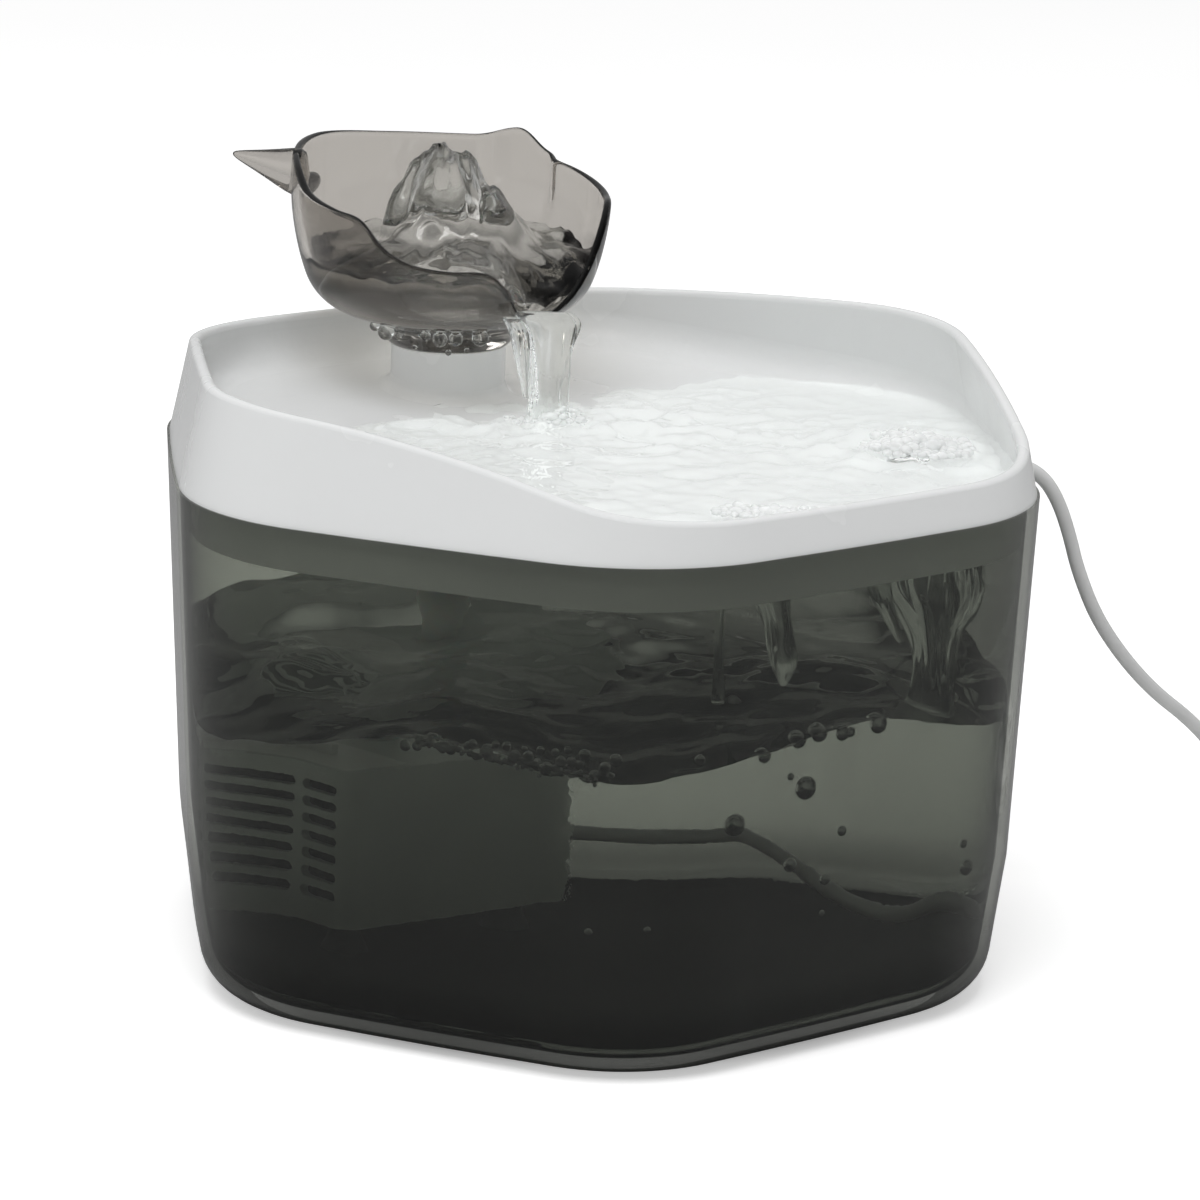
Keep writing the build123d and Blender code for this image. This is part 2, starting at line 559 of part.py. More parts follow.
def make_frame():
    """Cartridge frame: a rectangular ring with a slotted divider, hung from a cap with a finger tab."""
    corner = BOX_ROUND - BOX_WALL
    frame = rounded_block((FRAME_X0, FRAME_X1), (FRAME_Y0, FRAME_Y1), (FRAME_Z0, BOX_TOP), corner)
    window = ((FRAME_Y0 + FRAME_BAR, FRAME_Y1 - FRAME_BAR), (FRAME_Z0 + FRAME_BAR, BOX_TOP - FRAME_BAR))
    frame -= block((FRAME_X0 - 1, FRAME_X1 + 1), *window)
    divider = (FRAME_X0 + FOAM_DEPTH + SNUG, FRAME_X0 + FOAM_DEPTH + SNUG + FRAME_BAR)
    plate = block(divider, *window)
    tall = (window[1][0] + FRAME_BAR, window[1][1] - FRAME_BAR)
    pitch = (window[0][1] - window[0][0]) / DIVIDER_SLOTS
    for column in range(DIVIDER_SLOTS):
        start = window[0][0] + column * pitch + FRAME_BAR / 2
        plate -= block((divider[0] - 1, divider[1] + 1), (start, start + pitch - FRAME_BAR), tall)
    frame += plate
    frame += cap_block(0, (BOX_TOP, LID_TOP))
    middle = (FRAME_X0 + FRAME_X1) / 2
    centre = (FRAME_Y0 + FRAME_Y1) / 2
    tab = block((middle - TAB_T / 2, middle + TAB_T / 2), (centre - TAB_LENGTH / 2, centre + TAB_LENGTH / 2),
                (LID_TOP, LID_TOP + TAB_H))
    return frame + fillet(tab.edges().group_by(Axis.Z)[-1], TAB_T / 4)


def make_foam():
    return media_block((FRAME_X0 + SNUG, FRAME_X0 + FOAM_DEPTH))


def make_carbon():
    return media_block((FRAME_X0 + FOAM_DEPTH + FRAME_BAR + 2 * SNUG, FRAME_X1 - SNUG))


# ---- Pump ----
def pump_section(inset, x):
    """The pump's outside between two values of x, or with an inset the space in it."""
    half = PUMP_WIDTH / 2 - inset
    body = block(x, (COLUMN_Y - half, COLUMN_Y + half), (BOX_IN_Z + inset, PUMP_TOP - inset))
    return fillet(body.edges().filter_by(Axis.X), PUMP_ROUND - inset / 2)


def well():
    """Sealed tube that the magnet turns in, with the socket of its rear bush."""
    return shaft(WELL_OUT_R, CHAMBER_BACK, WELL_BACK + BUSH_LENGTH + WELL_CAP)


def make_pump_body():
    """Pump housing: volute chamber with its nozzle, magnet well, and a bay for the stator behind."""
    body = pump_section(0, (-PUMP_FRONT, PUMP_BACK))
    body -= pump_section(PUMP_WALL, (CHAMBER_BACK + PUMP_WALL, PUMP_BACK + 1))
    body += well()
    body += rod(NOZZLE_R, PUMP_TOP - PUMP_ROUND, NOZZLE_TOP, y=COLUMN_Y)
    body -= shaft(CHAMBER_R, -PUMP_FRONT - 1, CHAMBER_BACK)
    body -= shaft(WELL_R, CHAMBER_BACK - 1, WELL_BACK)
    body -= shaft(BUSH_SOCKET_R, WELL_BACK - 1, WELL_BACK + BUSH_LENGTH)
    groove = shaft(SEAL_R + SEAL_WIRE, -PUMP_FRONT - 1, -PUMP_FRONT + 2 * SEAL_WIRE)
    body -= groove - shaft(SEAL_R - SEAL_WIRE, -PUMP_FRONT - 2, -PUMP_FRONT + 3)
    return body - rod(PASSAGE_R, PUMP_AXIS_Z, NOZZLE_TOP + 1, y=COLUMN_Y)


def make_volute_cover():
    """Plate over the chamber: round intake with a spider for the front bush, and rails for the slide."""
    cover = pump_section(0, (COVER_X, -PUMP_FRONT))
    cover -= shaft(INTAKE_R, COVER_X - 1, -PUMP_FRONT + 1)
    cover += shaft(SPIDER_R, COVER_X, -PUMP_FRONT)
    for turn in (0, 120, 240):
        reach = (SPIDER_R + INTAKE_R) / 2
        bar = Box(COVER_T, SPIDER_BAR, INTAKE_R - SPIDER_R + 1.2)
        cover += Pos(COVER_X + COVER_T / 2, COLUMN_Y, PUMP_AXIS_Z) * Rot(turn, 0, 0) * Pos(0, 0, reach) * bar
    cover -= shaft(FRONT_BUSH_R, COVER_X - 1, -PUMP_FRONT + 1)
    half = SLIDE_W / 2 + LOOSE
    outer = half + RAIL_T
    rails = (SLIDE_Z, SLIDE_Z + SLIDE_H + SLIDE_TRAVEL)
    cover += block((COVER_X - SLIDE_T - LOOSE, COVER_X), (COLUMN_Y - outer, COLUMN_Y + outer), rails)
    return cover - block((COVER_X - 2 * SLIDE_T, COVER_X), (COLUMN_Y - half, COLUMN_Y + half), rails)


def make_flow_slide():
    """Small plate that is pushed up over the intake to throttle it, with a finger rib."""
    back = COVER_X - RUNNING
    width = (COLUMN_Y - SLIDE_W / 2, COLUMN_Y + SLIDE_W / 2)
    thumb = (width[0] + SLIDE_T, width[1] - SLIDE_T)
    plate = block((back - SLIDE_T, back), width, (SLIDE_Z, SLIDE_Z + SLIDE_H))
    return plate + block((back - 2 * SLIDE_T, back), thumb, (SLIDE_Z, SLIDE_Z + SLIDE_T))


def make_seal():
    """O-ring between the volute cover and the pump body."""
    ring = Torus(SEAL_R, SEAL_WIRE - RUNNING)
    return Pos(-PUMP_FRONT + SEAL_WIRE, COLUMN_Y, PUMP_AXIS_Z) * Rot(0, 90, 0) * ring


def make_impeller():
    """Hub with straight blades, pressed on the magnet's end."""
    start = -PUMP_FRONT + 1.4
    impeller = shaft(HUB_R, start, MAGNET_X)
    for number in range(BLADES):
        blade = Box(BLADE_DEPTH, BLADE_T, IMPELLER_R - HUB_R / 2, align=(Align.MIN, Align.CENTER, Align.MIN))
        turn = Rot(number * 360 / BLADES, 0, 0) * Pos(0, 0, HUB_R / 2)
        impeller += Pos(start, COLUMN_Y, PUMP_AXIS_Z) * turn * blade
    return impeller - shaft(BORE_R, start - 1, MAGNET_X + 1)


def make_magnet():
    return shaft(MAGNET_R, MAGNET_X, MAGNET_X + MAGNET_LENGTH) - shaft(BORE_R, 0, PUMP_BACK)


def make_shaft():
    return shaft(SHAFT_R, COVER_X + 0.3, WELL_BACK + BUSH_LENGTH - 0.2)


def make_front_bush():
    """Rubber bush in the cover's spider."""
    bush = shaft(FRONT_BUSH_R - RUNNING / 2, COVER_X, -PUMP_FRONT + 0.8)
    return bush - shaft(SHAFT_R + RUNNING / 2, COVER_X - 1, 0)


def make_rear_bush():
    """Rubber bush at the bottom of the magnet's well."""
    bush = shaft(BUSH_SOCKET_R - RUNNING, WELL_BACK, WELL_BACK + BUSH_LENGTH)
    return bush - shaft(SHAFT_R + RUNNING / 2, WELL_BACK - 1, PUMP_BACK)


def make_core():
    """Stator core: a yoke below the well and a leg up each side of it."""
    inner = WELL_OUT_R + STATOR_GAP
    outer = PUMP_WIDTH / 2 - PUMP_WALL - CORE_REST
    core = block(CORE_X, (COLUMN_Y - outer, COLUMN_Y + outer), (YOKE_Z, PUMP_AXIS_Z + WELL_R))
    between = (COLUMN_Y - inner, COLUMN_Y + inner)
    return core - block((CORE_X[0] - 1, CORE_X[1] + 1), between, (YOKE_Z + YOKE_T, PUMP_TOP))


def make_coil():
    """Winding round the stator's yoke."""
    half = WELL_OUT_R - STATOR_GAP
    y = (COLUMN_Y - half, COLUMN_Y + half)
    x = (CORE_X[0] - SNUG, CORE_X[1] + SNUG)
    z = (YOKE_Z - SNUG, YOKE_Z + YOKE_T + SNUG)
    coil = block((x[0] - COIL_T, x[1] + COIL_T), y, (YOKE_Z - COIL_T, YOKE_Z + YOKE_T + COIL_T))
    return coil - block(x, (y[0] - 1, y[1] + 1), z)


def make_potting():
    """Resin that fills the stator's bay round the core, the coil and the well."""
    bay = pump_section(PUMP_WALL, (CHAMBER_BACK + PUMP_WALL, PUMP_BACK - POTTING_REST))
    return bay - well() - make_core() - make_coil()


def make_gland():
    """Tapered rubber gland where the cord enters the resin."""
    start = PUMP_BACK - POTTING_REST
    return Pos(start, GLAND_Y, GLAND_Z) * Rot(0, 90, 0) * Cone(GLAND_R, GLAND_TIP_R, GLAND_LENGTH, align=BASE)


def make_hose():
    """Silicone hose from the pump's nozzle up to the tray's spigot."""
    top = SEAT_Z - SEAT_FLOOR - 1
    hose = rod(HOSE_R, PUMP_TOP, top, y=COLUMN_Y)
    return hose - rod(NOZZLE_R + SNUG, PUMP_TOP - 1, top + 1, y=COLUMN_Y)


# ---- Cord ----
def bend_radii(points):
    """Radius at each inner point: as large as its two runs allow."""
    radii = []
    for before, here, after in zip(points, points[1:], points[2:]):
        first, second = Vector(*here) - Vector(*before), Vector(*after) - Vector(*here)
        turn = radians(first.get_angle(second))
        radii.append(0.45 * min(first.length, second.length) / tan(turn / 2))
    return radii


def make_cord(points, name):
    """Cord along a route of straight runs joined by arcs."""
    radii = bend_radii(points)
    path = FilletPolyline(*points, radius=radii)
    start = Plane(origin=path @ 0, z_dir=path % 0)
    tube = sweep(start * Circle(CORD_R), path)
    expected = pi * CORD_R**2 * path.length
    print(name, "radii", [round(r, 1) for r in radii], "length", round(path.length, 1))
    print(name, "volume", round(tube.volume, 1), "section x length", round(expected, 1))
    return tube


def make_coil_of_cord():
    """Outer shape of the neat coil that the spare cord is wound in."""
    half = COIL_WIDE * CORD_R
    height = COIL_HIGH * 2 * CORD_R
    ring = Cylinder(COIL_MEAN_R + half, height, align=BASE) - Cylinder(COIL_MEAN_R - half, height, align=BASE)
    ring = fillet(ring.edges().filter_by(GeomType.CIRCLE), CORD_R)
    return Pos(*COIL_CENTRE, 0) * ring


def plug_place(along):
    """On top of the coil: along is measured down the plug from its boot's end."""
    return COIL_CENTRE[0] + PLUG_ACROSS, COIL_CENTRE[1] + (BOOT_L + PLUG_L + SHELL_L) / 2 - along


def plug_block(width, start, end, thickness):
    """Block in the plug, from start to end along it."""
    middle = COIL_HIGH * 2 * CORD_R + PLUG_T / 2
    x, y0 = plug_place(start)
    y1 = plug_place(end)[1]
    return block((x - width / 2, x + width / 2), (y1, y0), (middle - thickness / 2, middle + thickness / 2))


def make_plug():
    """Moulded plug body with its tapered boot."""
    body = plug_block(PLUG_W, BOOT_L, BOOT_L + PLUG_L, PLUG_T)
    body = fillet(body.edges(), PLUG_ROUND)
    x, y = plug_place(BOOT_L + PLUG_ROUND)
    boot = Cone(BOOT_R, CORD_R + 0.4, BOOT_L + PLUG_ROUND, align=BASE)
    return body + Pos(x, y, COIL_HIGH * 2 * CORD_R + PLUG_T / 2) * Rot(-90, 0, 0) * boot


def make_plug_shell():
    """Steel shell of the plug."""
    start, end = BOOT_L + PLUG_L, BOOT_L + PLUG_L + SHELL_L
    shell = plug_block(SHELL_W, start, end, SHELL_T)
    return shell - plug_block(SHELL_W - 2 * SHELL_WALL, start, end + 1, SHELL_T - 2 * SHELL_WALL)


def make_plug_tongue():
    """Plastic tongue inside the plug's shell."""
    start = BOOT_L + PLUG_L
    return plug_block(TONGUE_W, start, start + SHELL_L - TONGUE_REST, TONGUE_T)


PARTS = {
    "tank": make_tank(),
    "rim_grommet": make_grommet(),
    "tray": make_tray(),
    "spout_ring": make_ring(),
    "spout_cup": make_cup(),
    "filter_box": make_filter_box(),
    "filter_box_lid": make_lid(),
    "suction_cups": make_suction_cups(),
    "cartridge_frame": make_frame(),
    "filter_foam": make_foam(),
    "filter_carbon": make_carbon(),
    "pump_body": make_pump_body(),
    "volute_cover": make_volute_cover(),
    "volute_seal": make_seal(),
    "flow_slide": make_flow_slide(),
    "impeller": make_impeller(),
    "rotor_magnet": make_magnet(),
    "rotor_shaft": make_shaft(),
    "front_bush": make_front_bush(),
    "rear_bush": make_rear_bush(),
    "stator_core": make_core(),
    "stator_coil": make_coil(),
    "potting": make_potting(),
    "pump_gland": make_gland(),
    "riser_hose": make_hose(),
    "inner_cord": make_cord(INNER_ROUTE, "inner_cord"),
    "cord": make_cord(OUTER_ROUTE, "cord"),
    "cord_coil": make_coil_of_cord(),
    "usb_plug": make_plug(),
    "usb_shell": make_plug_shell(),
    "usb_tongue": make_plug_tongue(),
}

os.makedirs("parts", exist_ok=True)
for name, part in PARTS.items():
    export_step(part, f"parts/{name}.step")
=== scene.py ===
import json
from math import atan2, cos, degrees, exp, hypot, pi, radians, sin, sqrt, tan

import bmesh
import bpy
from mathutils import Matrix, Vector, noise


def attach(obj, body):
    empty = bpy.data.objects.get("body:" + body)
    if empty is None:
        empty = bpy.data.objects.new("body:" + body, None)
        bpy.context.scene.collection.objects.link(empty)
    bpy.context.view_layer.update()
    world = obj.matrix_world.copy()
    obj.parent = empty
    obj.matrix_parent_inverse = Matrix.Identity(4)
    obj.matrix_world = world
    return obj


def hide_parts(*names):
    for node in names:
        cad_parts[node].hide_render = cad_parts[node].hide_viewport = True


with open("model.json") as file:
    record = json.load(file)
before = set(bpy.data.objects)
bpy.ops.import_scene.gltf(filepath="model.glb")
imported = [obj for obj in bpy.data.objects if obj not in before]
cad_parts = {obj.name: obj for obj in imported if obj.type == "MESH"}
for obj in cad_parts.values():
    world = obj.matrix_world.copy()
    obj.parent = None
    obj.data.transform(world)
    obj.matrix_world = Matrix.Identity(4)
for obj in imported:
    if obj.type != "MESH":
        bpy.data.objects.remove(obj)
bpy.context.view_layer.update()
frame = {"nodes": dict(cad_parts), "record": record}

# Lengths are in millimetres and turned into metres by MM, apart from bump and scatter depths and clip planes.
MM = 0.001

# ---- Camera: it looks across the low corner of the tray ----
CAMERA_AZIMUTH = 37.5
CAMERA_PITCH = 14.63
CAMERA_ROLL = 1.685
CAMERA_DISTANCE = 1072.4
CAMERA_TARGET = (0.0, 0.0, 60.0)
CAMERA_RIGHT = 2.66        # how far the lens stands to the right of the line to the target, and above it
CAMERA_ABOVE = 20.82
LENS = 140.3

# ---- Tank and tray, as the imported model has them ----
SIDE_APOTHEM = 94.5
SIDE_BULGE = 1.5
CORNER_R = 47.5
TANK_H = 115.0
TANK_WALL = 2.5
TANK_FLOOR = 3.0
CREASE_Z = 32.0
CREASE_INSET = 3.2
FOOT_TAPER = 7.0
FOOT_ROUND = 11.0
FLOOR_MID = 115.3          # height of the bowl's floor in its middle, and its slope in degrees
FLOOR_TILT = 5.0
COLUMN_Y = 58.0            # middle of the column that the cup stands on

# ---- Cord ----
CORD_DIAMETER = 3.4
OUTER_ROUTE = [(95.0, -29.45, 108.3), (100.2, -32.45, 108.3), (105.3, -34.8, 105.4), (109.3, -36.0, 99.9),
               (112.8, -36.8, 91.8), (116.8, -37.0, 80.5), (124.5, -37.5, 66.5), (140.0, -38.0, 50.0),
               (157.5, -39.0, 37.5), (171.0, -38.2, 23.5), (180.5, -38.5, 11.0), (188.0, -39.4, 3.8),
               (196.5, -40.0, 1.7)]
INNER_ROUTE = [(33.5, 50.0, 22.0), (41.8, 50.0, 22.0), (48.0, 46.6, 19.9), (53.6, 38.9, 15.2),
               (58.8, 27.6, 9.8), (63.6, 14.8, 6.4), (68.8, 1.5, 6.0), (74.5, -11.5, 11.4),
               (80.3, -20.9, 25.0), (82.6, -24.6, 44.0), (82.3, -23.5, 63.0), (79.8, -20.9, 80.0),
               (78.7, -19.6, 93.0), (80.4, -20.5, 100.0), (83.9, -22.8, 105.4), (89.1, -26.05, 108.3),
               (95.0, -29.45, 108.3)]
COIL_CENTRE = (203.0, -64.0)
COIL_OUTER_R = 24.1        # the outermost turn's middle
COIL_START = 85.0          # direction in which the first turn begins
COIL_LAYERS = 3
COIL_WIDE = 4              # turns side by side in a layer
SHORT_OF_TURN = 0.35       # part of a turn by which a layer stops short of that
TOP_TURNS = 3.63
TURN_PITCH = 3.4
POINTS_PER_TURN = 16
PLUG_X = 221.0
PLUG_BOOT_Y = -44.5
PLUG_Z = 13.9
COIL_TAIL = [(202.0, -49.9, 10.6), (205.4, -46.8, 12.2), (206.8, -41.4, 12.6), (206.9, -35.3, 12.8),
             (211.1, -31.1, 13.1), (216.9, -31.1, 13.4), (221.1, -35.3, 13.7), (221.2, -40.2, 13.9)]


# ---- geometry helpers ----
def smooth_table(table, x):
    """Value at x of a smooth line through (x, value) pairs that rise in x."""
    if x <= table[0][0]:
        return table[0][1]
    if x >= table[-1][0]:
        return table[-1][1]
    i = max(k for k in range(len(table) - 1) if table[k][0] <= x)
    (x0, y0), (x1, y1) = table[i], table[i + 1]
    before = table[i - 1] if i > 0 else table[i]
    after = table[i + 2] if i + 2 < len(table) else table[i + 1]
    slope0 = (y1 - before[1]) / (x1 - before[0])
    slope1 = (after[1] - y0) / (after[0] - x0)
    t = (x - x0) / (x1 - x0)
    width = x1 - x0
    return ((2 * t**3 - 3 * t**2 + 1) * y0 + (t**3 - 2 * t**2 + t) * width * slope0
            + (-2 * t**3 + 3 * t**2) * y1 + (t**3 - t**2) * width * slope1)


def step_between(low, high, x):
    """Smooth rise from 0 at low to 1 at high."""
    t = min(1.0, max(0.0, (x - low) / (high - low)))
    return t * t * (3 - 2 * t)


def object_from(name, vertices, faces, material, smooth=True):
    """Mesh object from vertices in millimetres."""
    mesh = bpy.data.meshes.new(name)
    mesh.from_pydata([Vector(v) * MM for v in vertices], [], faces)
    bm = bmesh.new()
    bm.from_mesh(mesh)
    bmesh.ops.recalc_face_normals(bm, faces=bm.faces)
    bm.to_mesh(mesh)
    bm.free()
    mesh.polygons.foreach_set("use_smooth", [smooth] * len(mesh.polygons))
    mesh.materials.append(material)
    made = bpy.data.objects.new(name, mesh)
    bpy.context.scene.collection.objects.link(made)
    return made


def sharp_edges(piece, count):
    """Marks the ring of the first vertices sharp, so that a water's top and side are shaded apart."""
    for edge in piece.data.edges:
        if max(edge.vertices) < count:
            edge.use_edge_sharp = True


def lathe_faces(rows, columns, closed_rows):
    """Quads of a grid whose columns go all the way round."""
    faces = []
    for i in range(rows if closed_rows else rows - 1):
        for j in range(columns):
            k = (j + 1) % columns
            n = (i + 1) % rows
            faces.append((i * columns + j, i * columns + k, n * columns + k, n * columns + j))
    return faces


def shifted(faces, first):
    """The same faces on vertices that begin at a later place in the list."""
    return [[first + n for n in face] for face in faces]


def fan(first, columns, centre):
    """Triangles from a ring of vertices to one in its middle."""
    return [(first + j, first + (j + 1) % columns, centre) for j in range(columns)]


def bridge(first, second, columns):
    """Quads between two rings of vertices."""
    turns = [(j, (j + 1) % columns) for j in range(columns)]
    return [(first + j, first + n, second + n, second + j) for j, n in turns]


def pool_faces(rings, walls, columns):
    """Faces of a pool: rings in to a middle vertex, then rows of wall down to a vertex under it."""
    top_centre = rings * columns
    first_wall = top_centre + 1
    last_wall = first_wall + (walls - 1) * columns
    top = lathe_faces(rings, columns, False) + fan(top_centre - columns, columns, top_centre)
    side = bridge(0, first_wall, columns) + shifted(lathe_faces(walls, columns, False), first_wall)
    return top + side + fan(last_wall, columns, last_wall + columns)


def end_faces(rows, columns):
    """The two faces that close the first and the last row of a grid."""
    return [tuple(range(columns)), tuple(range((rows - 1) * columns, rows * columns))]


def subdivide(piece):
    """Rounds a piece by one level of subdivision."""
    modifier = piece.modifiers.new("smooth", "SUBSURF")
    modifier.levels = 1
    modifier.render_levels = 1


def hexagon_radius(angle, inset):
    """Distance from the middle to the rounded hexagon's edge in a direction, in degrees."""
    turn = (angle + 30) % 60 - 30
    half_side = SIDE_APOTHEM * tan(radians(30))
    side_r = (half_side**2 + SIDE_BULGE**2) / (2 * SIDE_BULGE)
    side_centre = SIDE_APOTHEM + SIDE_BULGE - side_r
    along = side_centre * cos(radians(30))
    corner_centre = along + sqrt(along**2 - side_centre**2 + (side_r - CORNER_R) ** 2)
    corner_r = CORNER_R - inset
    reach = corner_centre * cos(radians(turn))
    root = corner_r**2 - (corner_centre * sin(radians(turn))) ** 2
    corner_hit = reach + sqrt(root) if root > 0 else 0
    off_side = 30 - abs(turn)
    side_reach = side_centre * cos(radians(off_side))
    side_root = (side_r - inset) ** 2 - (side_centre * sin(radians(off_side))) ** 2
    side_hit = side_reach + sqrt(side_root)
    if corner_hit == 0:
        return side_hit
    hit_x = corner_hit * cos(radians(turn)) - corner_centre
    hit_y = corner_hit * sin(radians(turn))
    corner_x = corner_centre * cos(radians(30)) - side_centre
    corner_y = corner_centre * sin(radians(30))
    on_corner = abs(degrees(atan2(hit_y, hit_x))) <= 30 - degrees(atan2(corner_y, corner_x)) + 0.001
    return corner_hit if on_corner else side_hit


def hexagon_ring(columns, inset, z):
    """Places round the rounded hexagon at one height."""
    ring = []
    for j in range(columns):
        angle = 360 * j / columns
        r = hexagon_radius(angle, inset)
        ring.append((r * cos(radians(angle)), r * sin(radians(angle)), z))
    return ring


def tank_inset(z):
    """How far the tank's outside stands inside its rim's outline at a height."""
    if z < CREASE_Z:
        return CREASE_INSET + (CREASE_Z - z) * tan(radians(FOOT_TAPER))
    return CREASE_INSET * (TANK_H - z) / (TANK_H - CREASE_Z)


def to_camera(x, y):
    """Object place to (right, depth) as the camera sees it."""
    a = radians(CAMERA_AZIMUTH)
    return x * cos(a) - y * sin(a), x * sin(a) + y * cos(a)


def from_camera(right, depth):
    """The other way round."""
    a = radians(CAMERA_AZIMUTH)
    return right * cos(a) + depth * sin(a), -right * sin(a) + depth * cos(a)


# ---- material helpers ----
def new_material(name):
    """Empty material and its node tree."""
    made = bpy.data.materials.new(name)
    made.use_nodes = True
    made.node_tree.nodes.clear()
    return made, made.node_tree


def add(tree, kind, inputs=None, **settings):
    """Shader node with its sockets set or linked."""
    made = tree.nodes.new("ShaderNode" + kind)
    for key, value in settings.items():
        setattr(made, key, value)
    for key, value in (inputs or {}).items():
        socket = made.inputs[key]
        if isinstance(value, bpy.types.NodeSocket):
            tree.links.new(value, socket)
        else:
            socket.default_value = value
    return made


def surface(tree, socket):
    """Ends a material with a shader."""
    out = add(tree, "OutputMaterial")
    tree.links.new(socket, out.inputs["Surface"])


def map_range(tree, value, first, last, low=0.0, high=1.0):
    """Turns low to high into first to last, and holds both ends."""
    return add(tree, "MapRange", {"Value": value, "From Min": low, "From Max": high,
                                  "To Min": first, "To Max": last}).outputs["Result"]


def noise_value(tree, scale, detail=4.0, low=0.0, high=1.0, stretch=(1, 1, 1)):
    """Noise in object space, remapped between two values."""
    place = add(tree, "TexCoord").outputs["Object"]
    turned = add(tree, "Mapping", {"Vector": place, "Scale": stretch}).outputs["Vector"]
    grain = add(tree, "TexNoise", {"Vector": turned, "Scale": scale, "Detail": detail}).outputs["Fac"]
    return map_range(tree, grain, low, high, 0.25, 0.75)


def height_value(tree):
    """Height of the shaded place in the object, in metres."""
    return add(tree, "SeparateXYZ", {0: add(tree, "TexCoord").outputs["Object"]}).outputs["Z"]


def bump(tree, height, depth):
    """Surface normal of fine relief, at most as deep as given in metres."""
    return add(tree, "Bump", {"Height": height, "Distance": depth, "Strength": 1.0}).outputs["Normal"]


def colour_between(tree, factor, first, second):
    """Colour that goes from the first to the second with a factor."""
    mix = add(tree, "Mix", {"Factor": factor}, data_type="RGBA")
    mix.inputs["A"].default_value = (*first, 1)
    mix.inputs["B"].default_value = (*second, 1)
    return mix.outputs["Result"]


def plastic(name, dark, light, roughness, grain=60.0, depth=0.00004, coat=0.0, spread=0.06, subsurface=0.0,
            specular=0.5):
    """Moulded plastic or rubber: colour that varies a little, faint surface texture, uneven gloss."""
    made, tree = new_material(name)
    colour = colour_between(tree, noise_value(tree, grain), dark, light)
    rough = noise_value(tree, grain * 2.3, low=roughness - spread, high=roughness + spread)
    normal = bump(tree, noise_value(tree, grain * 9), depth)
    shader = add(tree, "BsdfPrincipled", {"Base Color": colour, "Roughness": rough, "Normal": normal,
                                          "Coat Weight": coat, "Coat Roughness": 0.12,
                                          "Subsurface Weight": subsurface, "Subsurface Scale": 0.004,
                                          "Specular IOR Level": specular})
    surface(tree, shader.outputs[0])
    return made


def metal(name, dark, light, roughness, grain, stretch):
    """Metal with a brushed or wound grain."""
    made, tree = new_material(name)
    colour = colour_between(tree, noise_value(tree, grain, stretch=stretch), dark, light)
    rough = noise_value(tree, grain * 1.7, low=roughness - 0.08, high=roughness + 0.08, stretch=stretch)
    normal = bump(tree, noise_value(tree, grain * 4, stretch=stretch), 0.00002)
    shader = add(tree, "BsdfPrincipled", {"Base Color": colour, "Roughness": rough, "Normal": normal,
                                          "Metallic": 1.0})
    surface(tree, shader.outputs[0])
    return made


def open_to_lamps(tree, shader, tint):
    """Lets lamp rays through a clear piece, tinted."""
    lamps = add(tree, "LightPath").outputs["Is Shadow Ray"]
    through = add(tree, "BsdfTransparent", {"Color": (*tint, 1)}).outputs[0]
    mix = add(tree, "MixShader", {0: lamps, 1: shader, 2: through})
    return mix.outputs[0]


def same_both_ways(tree, ior):
    """Index that makes a Fresnel node treat a face from behind as it does from the front."""
    behind = add(tree, "NewGeometry").outputs["Backfacing"]
    return map_range(tree, behind, ior, 1 / ior)


def product(tree, *factors):
    """The factors multiplied by Math nodes."""
    value = factors[0]
    for factor in factors[1:]:
        value = add(tree, "Math", {0: value, 1: factor}, operation="MULTIPLY").outputs[0]
    return value


# ---- materials ----
WALL_IOR = 1.45
CUP_IOR = 1.46
WATER_IOR = 1.333
BUBBLE_IOR = 0.72          # below 1, as air has in water
FOOT_DARK = (3.0, 17.0)    # heights between which the painted shade at the tank's foot fades out, so the wall is darker towards the bottom
FOOT_SHARE = 0.45          # part of the light that the painted foot shade leaves
SLANT = (0.06, 0.6)        # Fresnel shares between which a slanting ray's longer way darkens the wall
SLANT_SHARE = 0.42         # part of the light that the longest way leaves
# Height and share of the cup's colour, darker in bands: partly for its thick floor and collar, partly painted
# shade on its lower wall.
CUP_SHADE_BANDS = [(131.0, 0.36), (132.6, 0.88), (136.4, 0.88), (137.6, 0.26), (139.2, 0.36), (141.5, 0.80),
             (144.0, 0.78), (146.4, 0.44), (148.6, 0.60), (152.0, 0.95), (158.0, 1.0)]


